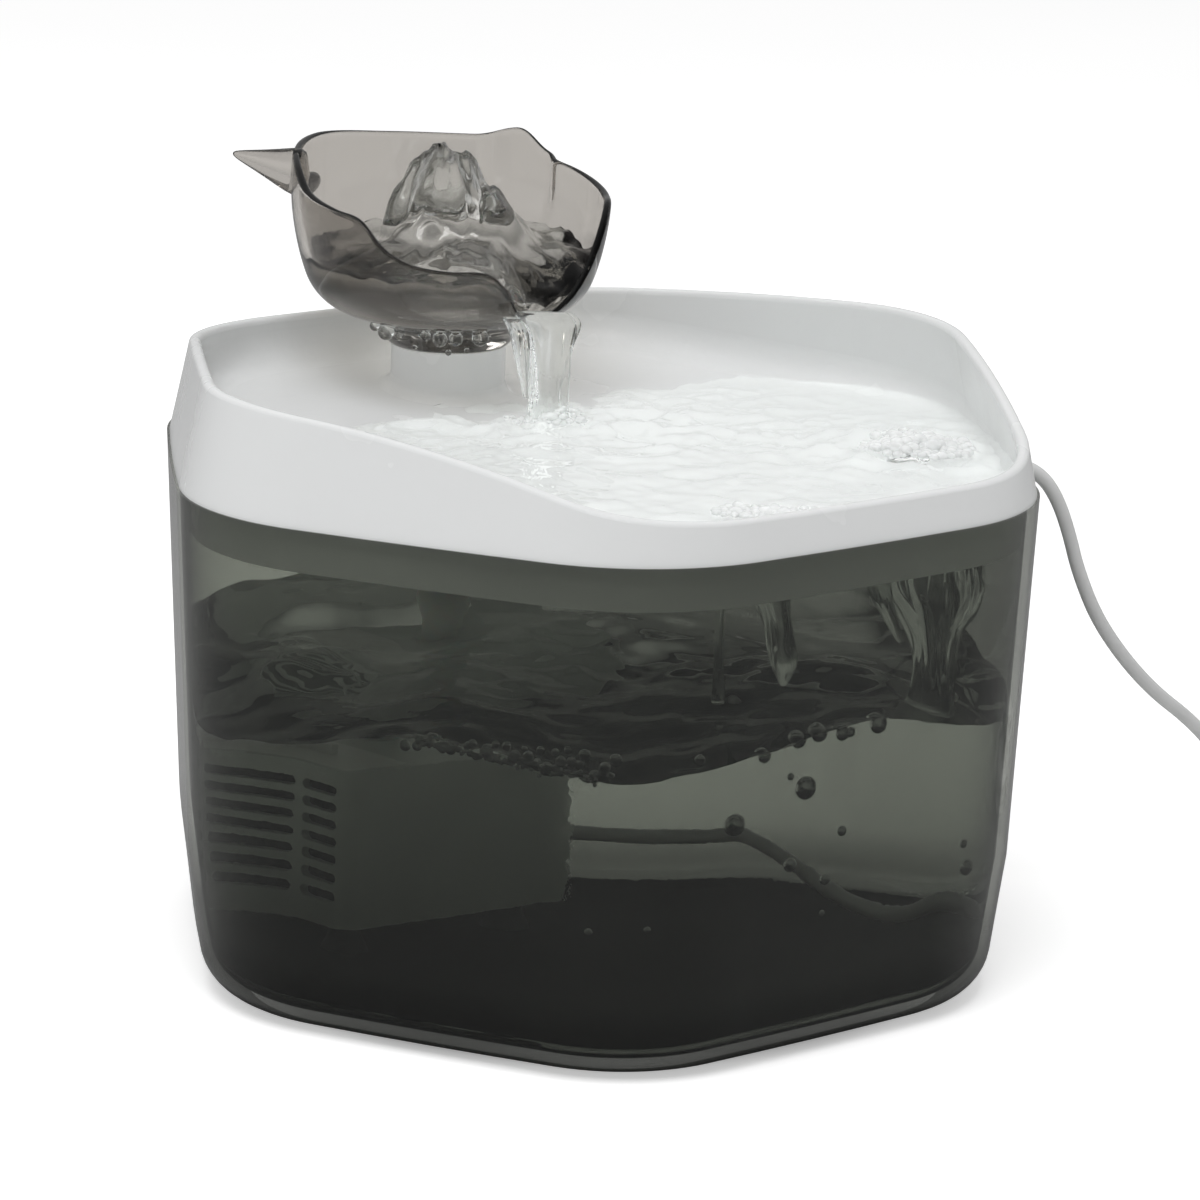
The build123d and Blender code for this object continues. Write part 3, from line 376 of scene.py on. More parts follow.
def tinted_wall(name, tint, haze, haze_share):
    """Clear tinted wall as a film on each face: tint, gloss where it is seen edge-on, a little haze, and
    painted shade towards the foot.
    """
    made, tree = new_material(name)
    low, high = FOOT_DARK
    # Painted shade: the wall's tint darkens towards the bottom of the foot.
    foot_shade = map_range(tree, height_value(tree), FOOT_SHARE, 1.0, low * MM, high * MM)
    normal = bump(tree, noise_value(tree, 22.0), 0.00003)
    edge = add(tree, "Fresnel", {"IOR": same_both_ways(tree, WALL_IOR), "Normal": normal}).outputs[0]
    long_way = map_range(tree, edge, 1.0, SLANT_SHARE, *SLANT)
    # Random smudges in the tint, times the painted foot shade and the darkening of slanting rays.
    smudge_and_shade = product(tree, noise_value(tree, 9.0, low=0.94, high=1.03), foot_shade, long_way)
    tint_and_shade = add(tree, "Mix", {"Factor": 1.0}, data_type="RGBA", blend_type="MULTIPLY")
    tint_and_shade.inputs["A"].default_value = (*tint, 1)
    grey = add(tree, "CombineColor", {"Red": smudge_and_shade, "Green": smudge_and_shade, "Blue": smudge_and_shade}).outputs[0]
    tree.links.new(grey, tint_and_shade.inputs["B"])
    clear = add(tree, "BsdfTransparent", {"Color": tint_and_shade.outputs["Result"]}).outputs[0]
    cloud = add(tree, "BsdfDiffuse", {"Color": (*haze, 1)}).outputs[0]
    body = add(tree, "MixShader", {0: haze_share, 1: clear, 2: cloud}).outputs[0]
    gloss = add(tree, "BsdfAnisotropic", {"Color": (0.8, 0.8, 0.8, 1), "Roughness": 0.06,
                                          "Normal": normal}).outputs[0]
    surface(tree, add(tree, "MixShader", {0: edge, 1: body, 2: gloss}).outputs[0])
    return made


def banded(tree, tint, bands):
    """A tint whose share changes with height."""
    low, high = bands[0][0], bands[-1][0]
    share = map_range(tree, height_value(tree), 0.0, 1.0, low * MM, high * MM)
    ramp = add(tree, "ValToRGB", {"Fac": share})
    for z, _ in bands[1:-1]:
        ramp.color_ramp.elements.new((z - low) / (high - low))
    for stop, (_, dark) in zip(ramp.color_ramp.elements, bands):
        stop.color = (*[dark * value for value in tint], 1)
    return ramp.outputs["Color"]


def glassy(name, tint, ior, ripple=0.0, ripple_scale=300.0, bands=None):
    """Solid clear stuff that bends light: water, bubbles, or the cup's plastic."""
    made, tree = new_material(name)
    inputs = {"Base Color": (*tint, 1), "Roughness": 0.0, "IOR": ior, "Transmission Weight": 1.0}
    # The cup's bands darken its colour by height, partly as painted shade.
    if bands:
        inputs["Base Color"] = banded(tree, tint, bands)
    if ripple:
        inputs["Normal"] = bump(tree, noise_value(tree, ripple_scale, detail=3), ripple)
    shader = add(tree, "BsdfPrincipled", inputs).outputs[0]
    surface(tree, open_to_lamps(tree, shader, [sqrt(value) for value in tint]))
    return made


def froth_material():
    """White water: part clear, part the pale scatter of small bubbles."""
    made, tree = new_material("froth")
    pale = colour_between(tree, noise_value(tree, 180.0), (0.90, 0.91, 0.91), (0.96, 0.965, 0.965))
    shader = add(tree, "BsdfPrincipled", {"Base Color": pale, "Roughness": 0.12, "IOR": WATER_IOR,
                                          "Transmission Weight": 0.45}).outputs[0]
    surface(tree, open_to_lamps(tree, shader, (0.95, 0.95, 0.95)))
    return made


def make_materials():
    """All materials by the slot or the piece that wears them."""
    return {
        "smoked": tinted_wall("smoked_clear", (0.630, 0.642, 0.612), (0.08, 0.088, 0.08), 0.02),
        "cup": glassy("smoked_cup", (0.420, 0.399, 0.372), CUP_IOR, ripple=0.00003, ripple_scale=60.0,
                      bands=CUP_SHADE_BANDS),
        "water": glassy("water", (0.97, 0.985, 0.975), WATER_IOR, ripple=0.00001),
        # A near-black dish of painted shade, for the dark seen through the tank's floor and foot.
        "painted_floor_shade": plastic("painted_floor_shade", (0.006, 0.007, 0.006), (0.016, 0.018, 0.015), 0.7, 26.0,
                             specular=0.05),
        "froth": froth_material(),
        # The bubbles' grey tint is painted shade; the air in them has no colour.
        "bubble": glassy("bubble", (0.28, 0.29, 0.28), BUBBLE_IOR),
        # The falling water's grey tint is painted shade.
        "fall": glassy("falling_water", (0.66, 0.68, 0.66), WATER_IOR, ripple=0.00001),
        "white_shell": plastic("white_shell", (0.815, 0.825, 0.825), (0.825, 0.835, 0.835), 0.26, 14.0,
                               coat=0.2, spread=0.03),
        "grey_plastic": plastic("grey_plastic", (0.56, 0.59, 0.56), (0.62, 0.65, 0.62), 0.42),
        "white_plastic": plastic("white_plastic", (0.74, 0.74, 0.72), (0.80, 0.80, 0.78), 0.38),
        "black_plastic": plastic("black_plastic", (0.022, 0.022, 0.024), (0.034, 0.034, 0.036), 0.42),
        "eye": plastic("eye", (0.008, 0.009, 0.012), (0.014, 0.015, 0.02), 0.12, coat=0.5),
        "rubber": plastic("rubber", (0.03, 0.03, 0.03), (0.05, 0.05, 0.05), 0.62, 90.0),
        "clear_silicone": plastic("clear_silicone", (0.62, 0.64, 0.62), (0.72, 0.74, 0.72), 0.35,
                                  subsurface=0.4),
        "ferrite": plastic("ferrite", (0.05, 0.05, 0.055), (0.09, 0.09, 0.095), 0.55, 400.0),
        "resin": plastic("resin", (0.02, 0.02, 0.022), (0.03, 0.03, 0.033), 0.15),
        "cord_white": plastic("cord_white", (0.66, 0.665, 0.66), (0.72, 0.725, 0.72), 0.42, 80.0),
        "foam": plastic("foam", (0.02, 0.02, 0.02), (0.07, 0.07, 0.07), 0.9, 900.0, depth=0.0006),
        "carbon": plastic("carbon", (0.015, 0.015, 0.015), (0.16, 0.16, 0.16), 0.8, 1100.0, depth=0.0006),
        "steel": metal("steel", (0.50, 0.51, 0.53), (0.68, 0.69, 0.71), 0.3, 60.0, (1, 1, 30)),
        "copper": metal("copper", (0.45, 0.17, 0.07), (0.72, 0.34, 0.16), 0.35, 50.0, (40, 1, 1)),
    }


# ---- camera, lamps, floor ----
STUDIO_LIGHT = 0.69        # the world's strength for what it lights, and for what mirrors it
STUDIO_GLOSS = 0.45
DIM_SIDE = -108.0          # direction of the studio's dim side, a little to the right of the camera
DIM_REACH = (-0.6, 0.2)    # cosines from the side across from it, between which the studio dims
DIM_SHARE = 0.25
BACKDROP_REACH = (0.45, 0.8)   # cosines from the camera's way, between which clear pieces lose the white
BACKDROP_SHARE = 0.22
FLOOR_HALF = 6000.0
FLOOR_MIRROR = 0.5         # part of the floor's colour that mirrors show
FLOOR_GLOW = 0.45          # light that the floor adds for the camera, so that it looks white
UNDER_SHADOW_REACH = (68.0, 87.0)     # distances between which the glow rises, from under the tank outwards: a painted shadow under the tank and round its foot
UNDER_SHADOW_SHARE = 0.06
NEAR_REACH = (360.0, 520.0)    # distances over which the glow that clear pieces lose comes back: painted shade on the floor near the tank, seen through clear pieces
NEAR_LOSS = 0.6


def make_camera():
    """Camera at the photo's place, turned by the photo's small roll."""
    a, pitch, roll = radians(CAMERA_AZIMUTH), radians(CAMERA_PITCH), radians(CAMERA_ROLL)
    right = Vector((cos(a), -sin(a), 0))
    ahead = Vector((sin(a), cos(a), 0))
    up_axis = Vector((0, 0, 1))
    look = ahead * cos(pitch) - up_axis * sin(pitch)
    up = ahead * sin(pitch) + up_axis * cos(pitch)
    side = right * cos(roll) + up * sin(roll)
    top = up * cos(roll) - right * sin(roll)
    eye = Vector(CAMERA_TARGET) - look * CAMERA_DISTANCE + side * CAMERA_RIGHT + top * CAMERA_ABOVE
    data = bpy.data.cameras.new("camera")
    data.lens = LENS
    data.sensor_width = 36.0
    data.clip_start, data.clip_end = 0.05, 20.0
    camera = bpy.data.objects.new("camera", data)
    turn = Matrix((side, top, -look)).transposed()
    camera.matrix_world = Matrix.Translation(eye * MM) @ turn.to_4x4()
    bpy.context.scene.collection.objects.link(camera)
    bpy.context.scene.camera = camera


def seen_directly(tree):
    """1 for rays that come from the camera, straight or through clear pieces."""
    path = add(tree, "LightPath").outputs
    ways = {0: path["Is Camera Ray"], 1: path["Is Transmission Ray"]}
    return add(tree, "Math", ways, operation="MAXIMUM").outputs[0]


def facing(tree, heading, reach, least):
    """1 where a ray into the studio runs along a heading, falling to least away from it."""
    a = radians(heading)
    along = add(tree, "VectorMath", {0: add(tree, "TexCoord").outputs["Generated"], 1: (cos(a), sin(a), 0.0)},
                operation="DOT_PRODUCT").outputs["Value"]
    return map_range(tree, along, least, 1.0, *reach)


def make_world():
    """White studio, dimmer on one side, with its own strength for light, for mirrors and for the camera."""
    world = bpy.data.worlds.new("studio")
    bpy.context.scene.world = world
    world.use_nodes = True
    tree = world.node_tree
    tree.nodes.clear()
    path = add(tree, "LightPath").outputs
    side = facing(tree, DIM_SIDE + 180, DIM_REACH, DIM_SHARE)
    base = map_range(tree, path["Is Glossy Ray"], STUDIO_LIGHT, STUDIO_GLOSS)
    lit = add(tree, "Background", {"Color": (1, 1, 1, 1), "Strength": product(tree, base, side)}).outputs[0]
    backdrop = facing(tree, 90 - CAMERA_AZIMUTH, BACKDROP_REACH, BACKDROP_SHARE)
    bent = add(tree, "Mix", {"Factor": path["Is Camera Ray"], "A": backdrop, "B": 1.0}).outputs[0]
    white = add(tree, "Background", {"Color": (1, 1, 1, 1), "Strength": bent}).outputs[0]
    mix = add(tree, "MixShader", {0: seen_directly(tree), 1: lit, 2: white}).outputs[0]
    out = add(tree, "OutputWorld")
    tree.links.new(mix, out.inputs["Surface"])


def make_lamp(name, place, size, watts, mirrored=True):
    """Square lamp that looks at the camera's target."""
    data = bpy.data.lights.new(name, "AREA")
    data.size = size * MM
    data.energy = watts
    lamp = bpy.data.objects.new(name, data)
    lamp.location = Vector(place) * MM
    aim = (Vector(CAMERA_TARGET) - Vector(place)).normalized()
    lamp.rotation_euler = aim.to_track_quat("-Z", "Y").to_euler()
    lamp.visible_glossy = mirrored
    bpy.context.scene.collection.objects.link(lamp)


def make_floor():
    """Pale floor that shows white to the camera and keeps the object's shadow, with a painted shadow under
    the tank and, through clear pieces, painted shade near it.
    """
    made, tree = new_material("studio_floor")
    path = add(tree, "LightPath").outputs
    mirror = product(tree, path["Is Glossy Ray"], path["Is Reflection Ray"])
    mirrored = map_range(tree, mirror, 1.0, FLOOR_MIRROR)
    grey = product(tree, noise_value(tree, 3.0, low=0.88, high=0.90), mirrored)
    shade = add(tree, "CombineColor", {"Red": grey, "Green": grey, "Blue": grey}).outputs[0]
    base = add(tree, "BsdfDiffuse", {"Color": shade}).outputs[0]
    place = add(tree, "TexCoord").outputs["Object"]
    away = add(tree, "VectorMath", {0: place}, operation="LENGTH").outputs["Value"]
    # Painted shadow: the glow falls away under the tank and round its foot.
    under = map_range(tree, away, UNDER_SHADOW_SHARE * FLOOR_GLOW, FLOOR_GLOW, *[r * MM for r in UNDER_SHADOW_REACH])
    # Painted shade: through clear pieces, the floor near the tank loses part of its glow.
    near = map_range(tree, away, NEAR_LOSS, 0.0, *[r * MM for r in NEAR_REACH])
    lost = product(tree, near, path["Is Transmission Ray"])
    kept = map_range(tree, lost, 1.0, 0.0)
    glow = add(tree, "Emission", {"Color": (1, 1, 1, 1), "Strength": product(tree, under, kept)}).outputs[0]
    both = add(tree, "AddShader", {0: base, 1: glow}).outputs[0]
    surface(tree, add(tree, "MixShader", {0: seen_directly(tree), 1: base, 2: both}).outputs[0])
    half = FLOOR_HALF
    corners = [(-half, -half, 0), (half, -half, 0), (half, half, 0), (-half, half, 0)]
    object_from("floor", corners, [(0, 1, 2, 3)], made, smooth=False)


# ---- cords ----
def spline_piece(name, points, material):
    """Round cord along a smooth curve that the points draw."""
    curve = bpy.data.curves.new(name, "CURVE")
    curve.dimensions = "3D"
    curve.bevel_depth = CORD_DIAMETER / 2 * MM
    curve.bevel_resolution = 4
    curve.resolution_u = 8
    curve.use_fill_caps = True
    spline = curve.splines.new("NURBS")
    spline.points.add(len(points) - 1)
    for spot, point in zip(spline.points, points):
        spot.co = (*(Vector(point) * MM), 1)
    spline.order_u = 3
    spline.use_endpoint_u = True
    curve.materials.append(material)
    made = bpy.data.objects.new(name, curve)
    bpy.context.scene.collection.objects.link(made)
    return made


def coil_points():
    """Turns of the put-away length: in across the bottom layer, out over it, in again on top."""
    cx, cy = COIL_CENTRE
    inner = COIL_OUTER_R - (COIL_WIDE - 1) * TURN_PITCH
    full_turns = COIL_WIDE - SHORT_OF_TURN
    angle = COIL_START
    points = []
    for layer in range(COIL_LAYERS):
        start, end = (COIL_OUTER_R, inner) if layer != 1 else (inner, COIL_OUTER_R)
        z = CORD_DIAMETER / 2 + layer * TURN_PITCH
        turns = full_turns if layer < COIL_LAYERS - 1 else TOP_TURNS
        for k in range(int(turns * POINTS_PER_TURN)):
            r = start + (end - start) * k / (full_turns * POINTS_PER_TURN)
            angle -= 360.0 / POINTS_PER_TURN
            points.append((cx + r * cos(radians(angle)), cy + r * sin(radians(angle)), z))
    return points


def make_cords(materials):
    """The cord from the tank's notch to the plug, and its stretch inside the tank."""
    turns = coil_points()
    tail = [*COIL_TAIL, (PLUG_X, PLUG_BOOT_Y, PLUG_Z)]
    lead = spline_piece("power_cord", OUTER_ROUTE + turns + tail, materials["cord_white"])
    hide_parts("cord", "cord_coil")
    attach(lead, "root")
    inner = spline_piece("inner_lead", INNER_ROUTE, materials["cord_white"])
    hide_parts("inner_cord")
    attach(inner, "root")


# ---- spout cup ----
CUP_TURN = -37.5           # direction of the tail, from which the cup's own directions count
# Height and outer radius of the cup's wall.
CUP_PROFILE = [(131.0, 14.4), (137.0, 18.4), (138.6, 24.5), (141.0, 29.0), (145.0, 32.6), (150.0, 34.6),
               (155.0, 35.9), (160.0, 36.8), (165.0, 37.3), (172.0, 37.2), (179.0, 36.9)]
# Direction and height of the cup's rim.
CUP_RIM = [(-180, 176), (-165, 173.2), (-152, 169), (-134, 166.5), (-122, 165), (-114, 159.5), (-104, 156),
           (-90, 154.5), (-74, 154), (-67, 151), (-57, 143.4), (-45, 142.2), (-34, 142.4), (-28.5, 145.5),
           (-20, 152.5), (-13, 160), (-4, 165.5), (8, 166.5), (38, 169.5), (57, 172), (66, 176.6),
           (72, 176.4), (80, 175), (114, 175.5), (150, 177.3), (168, 177), (180, 176)]
CUP_WALL = 1.8
CUP_COLUMNS = 144
WALL_FOOT = 137.0          # height at which the wall leaves the collar
WALL_STEPS = 24
INNER_RISE = 1.8           # how much higher the inner wall starts, on the cup's floor
RIM_ROUND = 0.55           # height of the rim's round, and its rows as inset and drop
RIM_ROWS = [(0.35, 0.12), (0.9, 0.0), (1.45, 0.12)]
STEM_R = 8.55
STEM_BORE = 6.0
STEM_END = 120.6
# Radius and height up the outside of the stem and collar, and down the floor into the bore.
STEM_ROWS = [(STEM_BORE, STEM_END), (STEM_R, STEM_END), (STEM_R, 130.9), (9.4, 131.0), (13.8, 131.0),
             (14.4, 131.6), (16.0, 133.8)]
FLOOR_ROWS = [(12.0, 138.8), (STEM_BORE + 0.5, 138.8), (STEM_BORE, 138.3), (STEM_BORE, STEM_END + 0.6)]
WING_ANGLE = 66            # direction of the middle of the raised wing on the far side, and half its width
WING_HALF = 17
WING_OUT = 3.0
WING_FADE = (1.0, 0.62)    # shares of the half width between which it rises
WING_FOOT = (154, 163)     # heights between which it rises
# The beak from root to tip: place along the cup's axis, height and half height.
BEAK_LINE = [(-33.0, 170.0, 6.2), (-37.0, 170.4, 5.7), (-40.5, 171.3, 4.4), (-44.5, 172.5, 2.9),
             (-48.5, 173.6, 1.6), (-50.6, 174.2, 0.8), (-51.1, 174.3, 0.25)]
BEAK_SLIM = 0.86           # its width as a share of its height
EYE_ANGLE = 163.0
EYE_Z = 166.0
EYE_LONG = 2.3             # its length as a share of its height
EYE_ROWS = [(2.7, 0.0), (2.2, 0.4), (1.4, 0.7), (0.0, 0.8)]    # reach and rise, from edge to middle


def cup_point(radius, angle, z):
    """Place on the cup by radius and direction, where 0 points to the tail and 180 to the beak."""
    a = radians(angle + CUP_TURN)
    return radius * cos(a), COLUMN_Y + radius * sin(a), z


def wing(angle, z):
    """How far the raised wing on the far side stands out."""
    across = abs(angle - WING_ANGLE) / WING_HALF
    return WING_OUT * step_between(*WING_FADE, across) * step_between(*WING_FOOT, z)


def make_cup(materials):
    """Bird cup as one closed shell: stem, collar, outer wall, uneven rim, inner wall, floor and bore."""
    columns = [(-180 + 360 * j / CUP_COLUMNS) for j in range(CUP_COLUMNS)]
    rims = [smooth_table(CUP_RIM, angle) for angle in columns]
    vertices = []

    def add_ring(radius, z):
        vertices.extend(cup_point(radius, angle, z) for angle in columns)

    def add_wall(share, inset, drop):
        for angle, rim in zip(columns, rims):
            z = WALL_FOOT + (rim - drop - WALL_FOOT) * share
            rise = INNER_RISE * (1 - share) if inset == CUP_WALL else 0.0
            vertices.append(cup_point(smooth_table(CUP_PROFILE, z) - inset + wing(angle, z), angle, z + rise))

    for radius, z in STEM_ROWS:
        add_ring(radius, z)
    for k in range(WALL_STEPS + 1):
        add_wall(k / WALL_STEPS, 0.0, RIM_ROUND)
    for inset, drop in RIM_ROWS:
        add_wall(1.0, inset, drop)
    for k in range(WALL_STEPS, -1, -1):
        add_wall(k / WALL_STEPS, CUP_WALL, RIM_ROUND)
    for radius, z in FLOOR_ROWS:
        add_ring(radius, z)
    faces = lathe_faces(len(vertices) // CUP_COLUMNS, CUP_COLUMNS, True)
    cup = object_from("bird_cup", vertices, faces, materials["cup"])
    subdivide(cup)
    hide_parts("spout_cup")
    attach(cup, "spout_cup")


def make_beak(materials):
    """Solid-looking beak on the cup's front wall."""
    around = 32
    vertices = []
    for u, z, radius in BEAK_LINE:
        for j in range(around):
            a = 2 * pi * j / around
            x, y = -u, radius * BEAK_SLIM * cos(a)
            vertices.append(cup_point(hypot(x, y), 180 - degrees(atan2(y, x)), z + radius * sin(a)))
    faces = lathe_faces(len(BEAK_LINE), around, False) + end_faces(len(BEAK_LINE), around)
    beak = object_from("beak", vertices, faces, materials["cup"])
    subdivide(beak)
    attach(beak, "spout_cup")


def make_eye(materials):
    """Bird's eye: a dark lens on the inside of the far wall, near the beak."""
    radius = smooth_table(CUP_PROFILE, EYE_Z) - CUP_WALL - 0.1
    vertices, around = [], 32
    for reach, rise in EYE_ROWS:
        for j in range(around):
            turn = 2 * pi * j / around
            along, up = reach * EYE_LONG * cos(turn), reach * sin(turn)
            vertices.append(cup_point(radius - rise, EYE_ANGLE + degrees(along / radius), EYE_Z + up))
    faces = lathe_faces(len(EYE_ROWS), around, False) + [tuple(range(around))]
    eye = object_from("eye", vertices, faces, materials["eye"])
    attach(eye, "spout_cup")


# ---- water ----
TANK_LEVEL = 69.5
WATER_GAP = 0.15           # between the water and the tank
WATER_LEVELS = [55.0, 43.0, CREASE_Z, 24.0, 17.0]      # heights of the rows down the tank's walls
# Waterline that the photo shows on the tank's near walls: camera's right and height.
FRONT_WAVES = [(-110, 61.0), (-85, 62.8), (-56, 68.3), (-32, 72.3), (5, 68.0), (38, 71.5), (67, 74.5),
               (92, 67.4), (110, 66.0)]
NEAR_DEPTHS = (10.0, -70.0)    # camera's depths between which that waterline takes over
SHADE_LIFT = 0.4            # how far the dark dish of painted shade stands over the tank's floor, and inside its foot
SHADE_GAP = 0.5
SHADE_TURN = 34.0           # how far it runs up the foot's round, in degrees
BOWL_LEVEL = 118.7
BOWL_BACK = 46.0           # where the bowl's water ends, by the column
BOWL_FRONT_INSET = 4.6     # how far it stands inside the outline in front, and at its sides
BOWL_INSET = 3.9
SPLASH_AT = (-2.0, 22.0)   # where the stream lands, and where the water runs: camera's right and depth
RUN_AT = (68.0, 2.0)
CUP_LEVEL = 154.0
CUP_WATER_FOOT = 138.7
CUP_WATER_R = 34.0         # where the height of the water at the cup's wall is read
INTO_WALL = 0.25           # how far the cup's water stands into the wall, so that no gap shows
NOTCH_ANGLE = -42
# Humps of the boiling mound: place along and across the cup, height and reach.
CUP_LOBES = [(-11.0, 1.0, 16.0, 4.6), (-1.5, 0.5, 23.5, 8.2), (7.5, -1.5, 14.5, 8.0), (13.0, -2.0, 8.0, 7.0),
             (-4.0, -5.0, 9.0, 9.0), (2.0, -3.0, 5.0, 20.0)]
# Water that falls from the cup's notch: radius, direction, height, half width and half depth.
STREAM = [(34.0, -51, 144.2, 7.4, 1.4), (36.8, -50, 141.8, 7.0, 2.2), (37.2, -49, 136.0, 4.9, 2.5),
          (35.6, -47, 127.0, 4.0, 2.6), (34.2, -46, 116.6, 5.0, 3.4)]
STRAND = [(33.4, -63, 143.4, 1.9, 1.3), (36.0, -61, 139.8, 2.2, 1.7), (35.2, -58.5, 131.0, 1.3, 1.2),
          (33.2, -55, 124.0, 0.5, 0.5)]
# Water that runs off the tray's underside: camera's right and depth, height, half width and half depth.
FALLS = [("fall_right", 1.3, [(71.0, -42.0, 107.0, 8.0, 2.2), (71.5, -43.0, 98.0, 9.0, 2.6),
                              (74.0, -44.0, 91.0, 5.5, 2.6), (75.0, -45.0, 82.0, 3.6, 2.4),
                              (75.0, -46.0, 69.0, 5.5, 3.0)]),
         ("fall_right_outer", 6.1, [(82.0, -38.0, 106.0, 3.0, 2.0), (83.0, -39.0, 98.0, 3.2, 2.2),
                                    (82.0, -41.0, 92.0, 2.8, 2.0), (79.5, -44.0, 86.0, 1.4, 1.3),
                                    (78.5, -45.0, 69.0, 1.8, 1.5)]),
         ("fall_right_inner", 5.2, [(62.5, -44.0, 107.0, 2.6, 2.0), (62.5, -45.0, 98.5, 2.6, 2.0),
                                    (65.0, -45.5, 92.0, 1.6, 1.4), (68.0, -46.0, 86.0, 0.8, 0.8)]),
         ("fall_front", 2.7, [(28.5, -50.0, 107.0, 1.3, 1.2), (28.3, -50.0, 96.0, 1.1, 1.0),
                              (28.5, -50.0, 84.0, 1.0, 1.0), (28.5, -50.0, 72.0, 1.6, 1.5)]),
         ("fall_front_drop", 4.4, [(38.0, -52.0, 107.0, 3.2, 2.2), (39.0, -52.0, 99.0, 4.4, 2.6),
                                   (41.0, -52.0, 91.0, 3.0, 2.6), (42.5, -52.0, 83.0, 3.4, 3.0),
                                   (42.5, -52.0, 77.0, 0.9, 0.9)])]
# Bubbles in the tank's water: place and radius.
BUBBLES = [(-25.3, -83.1, 55.0, 2.49), (-7.1, -84.5, 60.6, 2.64), (-12.4, -86.3, 64.2, 0.87),
           (4.8, -82.4, 48.6, 1.18), (-7.3, -78.7, 42.3, 1.61), (1.8, -80.3, 37.8, 1.31),
           (39.6, -83.8, 39.8, 1.05), (41.7, -82.1, 33.7, 1.9), (0.2, -82.6, 30.7, 0.76),
           (-50.1, -68.6, 31.7, 0.87), (-40.8, -75.5, 32.5, 0.76), (-20.8, -88.1, 70.4, 1.61),
           (-12.0, -88.8, 72.7, 1.9), (-6.4, -88.9, 73.4, 2.05), (0.1, -88.9, 72.4, 1.75),
           (2.3, -88.9, 72.3, 1.18), (10.4, -88.4, 72.8, 2.18), (-70.1, -57.4, 71.1, 1.56),
           (-67.2, -63.1, 70.9, 1.4), (-64.9, -64.7, 70.9, 1.25), (-63.2, -69.0, 69.1, 1.4),
           (-61.8, -72.0, 71.2, 1.25), (-59.6, -72.8, 71.0, 1.1), (-56.6, -73.4, 72.0, 1.4),
           (-55.2, -75.2, 67.8, 1.25), (-53.8, -76.8, 69.6, 1.4), (-53.4, -80.0, 72.2, 1.4),
           (-58.1, -73.8, 70.3, 1.1), (-67.8, -61.0, 72.6, 1.1), (-69.3, -59.2, 72.7, 0.94),
           (-72.2, -54.8, 72.2, 1.1), (-74.3, -50.3, 70.5, 1.25), (-75.0, -44.1, 71.1, 1.4),
           (-76.6, -41.8, 69.6, 1.1), (-78.1, -39.5, 69.4, 1.25), (-62.8, -65.2, 69.4, 0.94),
           (-37.4, -88.1, 71.7, 1.25), (-63.7, -67.4, 72.7, 0.94), (-61.2, -69.3, 72.3, 0.94),
           (-59.4, -71.2, 73.1, 0.81), (-64.3, -62.6, 71.8, 0.81), (-52.5, -77.3, 67.7, 0.94)]
LINE_BUBBLES = 90          # small ones along the waterline, on the wall at the camera's left
LINE_START = 209.0         # direction in which they start, and how far round they go
LINE_SPAN = 25.0
LINE_Z = 71.5
# Drops on the cup's collar: radius, direction, height and size.
COLLAR_DROPS = [(19.8, -148, 136.6, 1.26), (19.5, -136, 135.9, 1.99), (17.5, -129, 135.0, 0.95),
                (19.4, -104, 136.2, 1.26), (19.4, -94, 135.6, 1.78), (19.4, -83, 135.8, 1.68),
                (19.6, -66, 136.0, 1.99), (17.9, -58, 135.2, 1.05), (15.7, -118, 132.4, 0.63),
                (15.2, -88, 131.7, 0.73), (15.5, -72, 132.2, 0.63)]
# Where water breaks up in the bowl: camera's right and depth of the middle, reach each way, pieces, size.
FROTH = [(-11.0, 22.0, 10.0, 7.0, 40, 1.7), (72.5, -2.5, 13.0, 8.5, 130, 2.3),
         (37.0, -65.0, 12.0, 5.5, 100, 1.8)]
GOLDEN_TURN = 2.39996      # radians from one piece of froth to the next
GOLDEN_SHARE = 0.618034    # part of the line from one of its bubbles to the next


def ripple(x, y, scale_x, scale_y, seed):
    """Smooth unevenness over a water surface, from about -1 to 1."""
    return noise.noise(Vector((x * scale_x, y * scale_y, seed)))


def tank_wave(x, y):
    """Height of the tank's moving water."""
    right, depth = to_camera(x, y)
    front = smooth_table(FRONT_WAVES, right) - TANK_LEVEL
    near = step_between(*NEAR_DEPTHS, depth)
    swell = ripple(x, y, 0.020, 0.030, 3.1) * 5.0
    chop = ripple(x, y, 0.07, 0.09, 7.7) * 1.6
    fine = ripple(x, y, 0.2, 0.22, 1.3) * 0.45
    return TANK_LEVEL + front * near + swell * (1 - 0.7 * near) + chop + fine


def foot_round(turn, lift, gap):
    """Inset and height inside the tank's rounded foot, where turn is 90 on the floor and 0 on the wall."""
    a = radians(turn)
    round_r = FOOT_ROUND - TANK_WALL
    z = TANK_FLOOR + lift + round_r * (1 - sin(a))
    return tank_inset(z) + TANK_WALL + gap + round_r * (1 - cos(a)), z


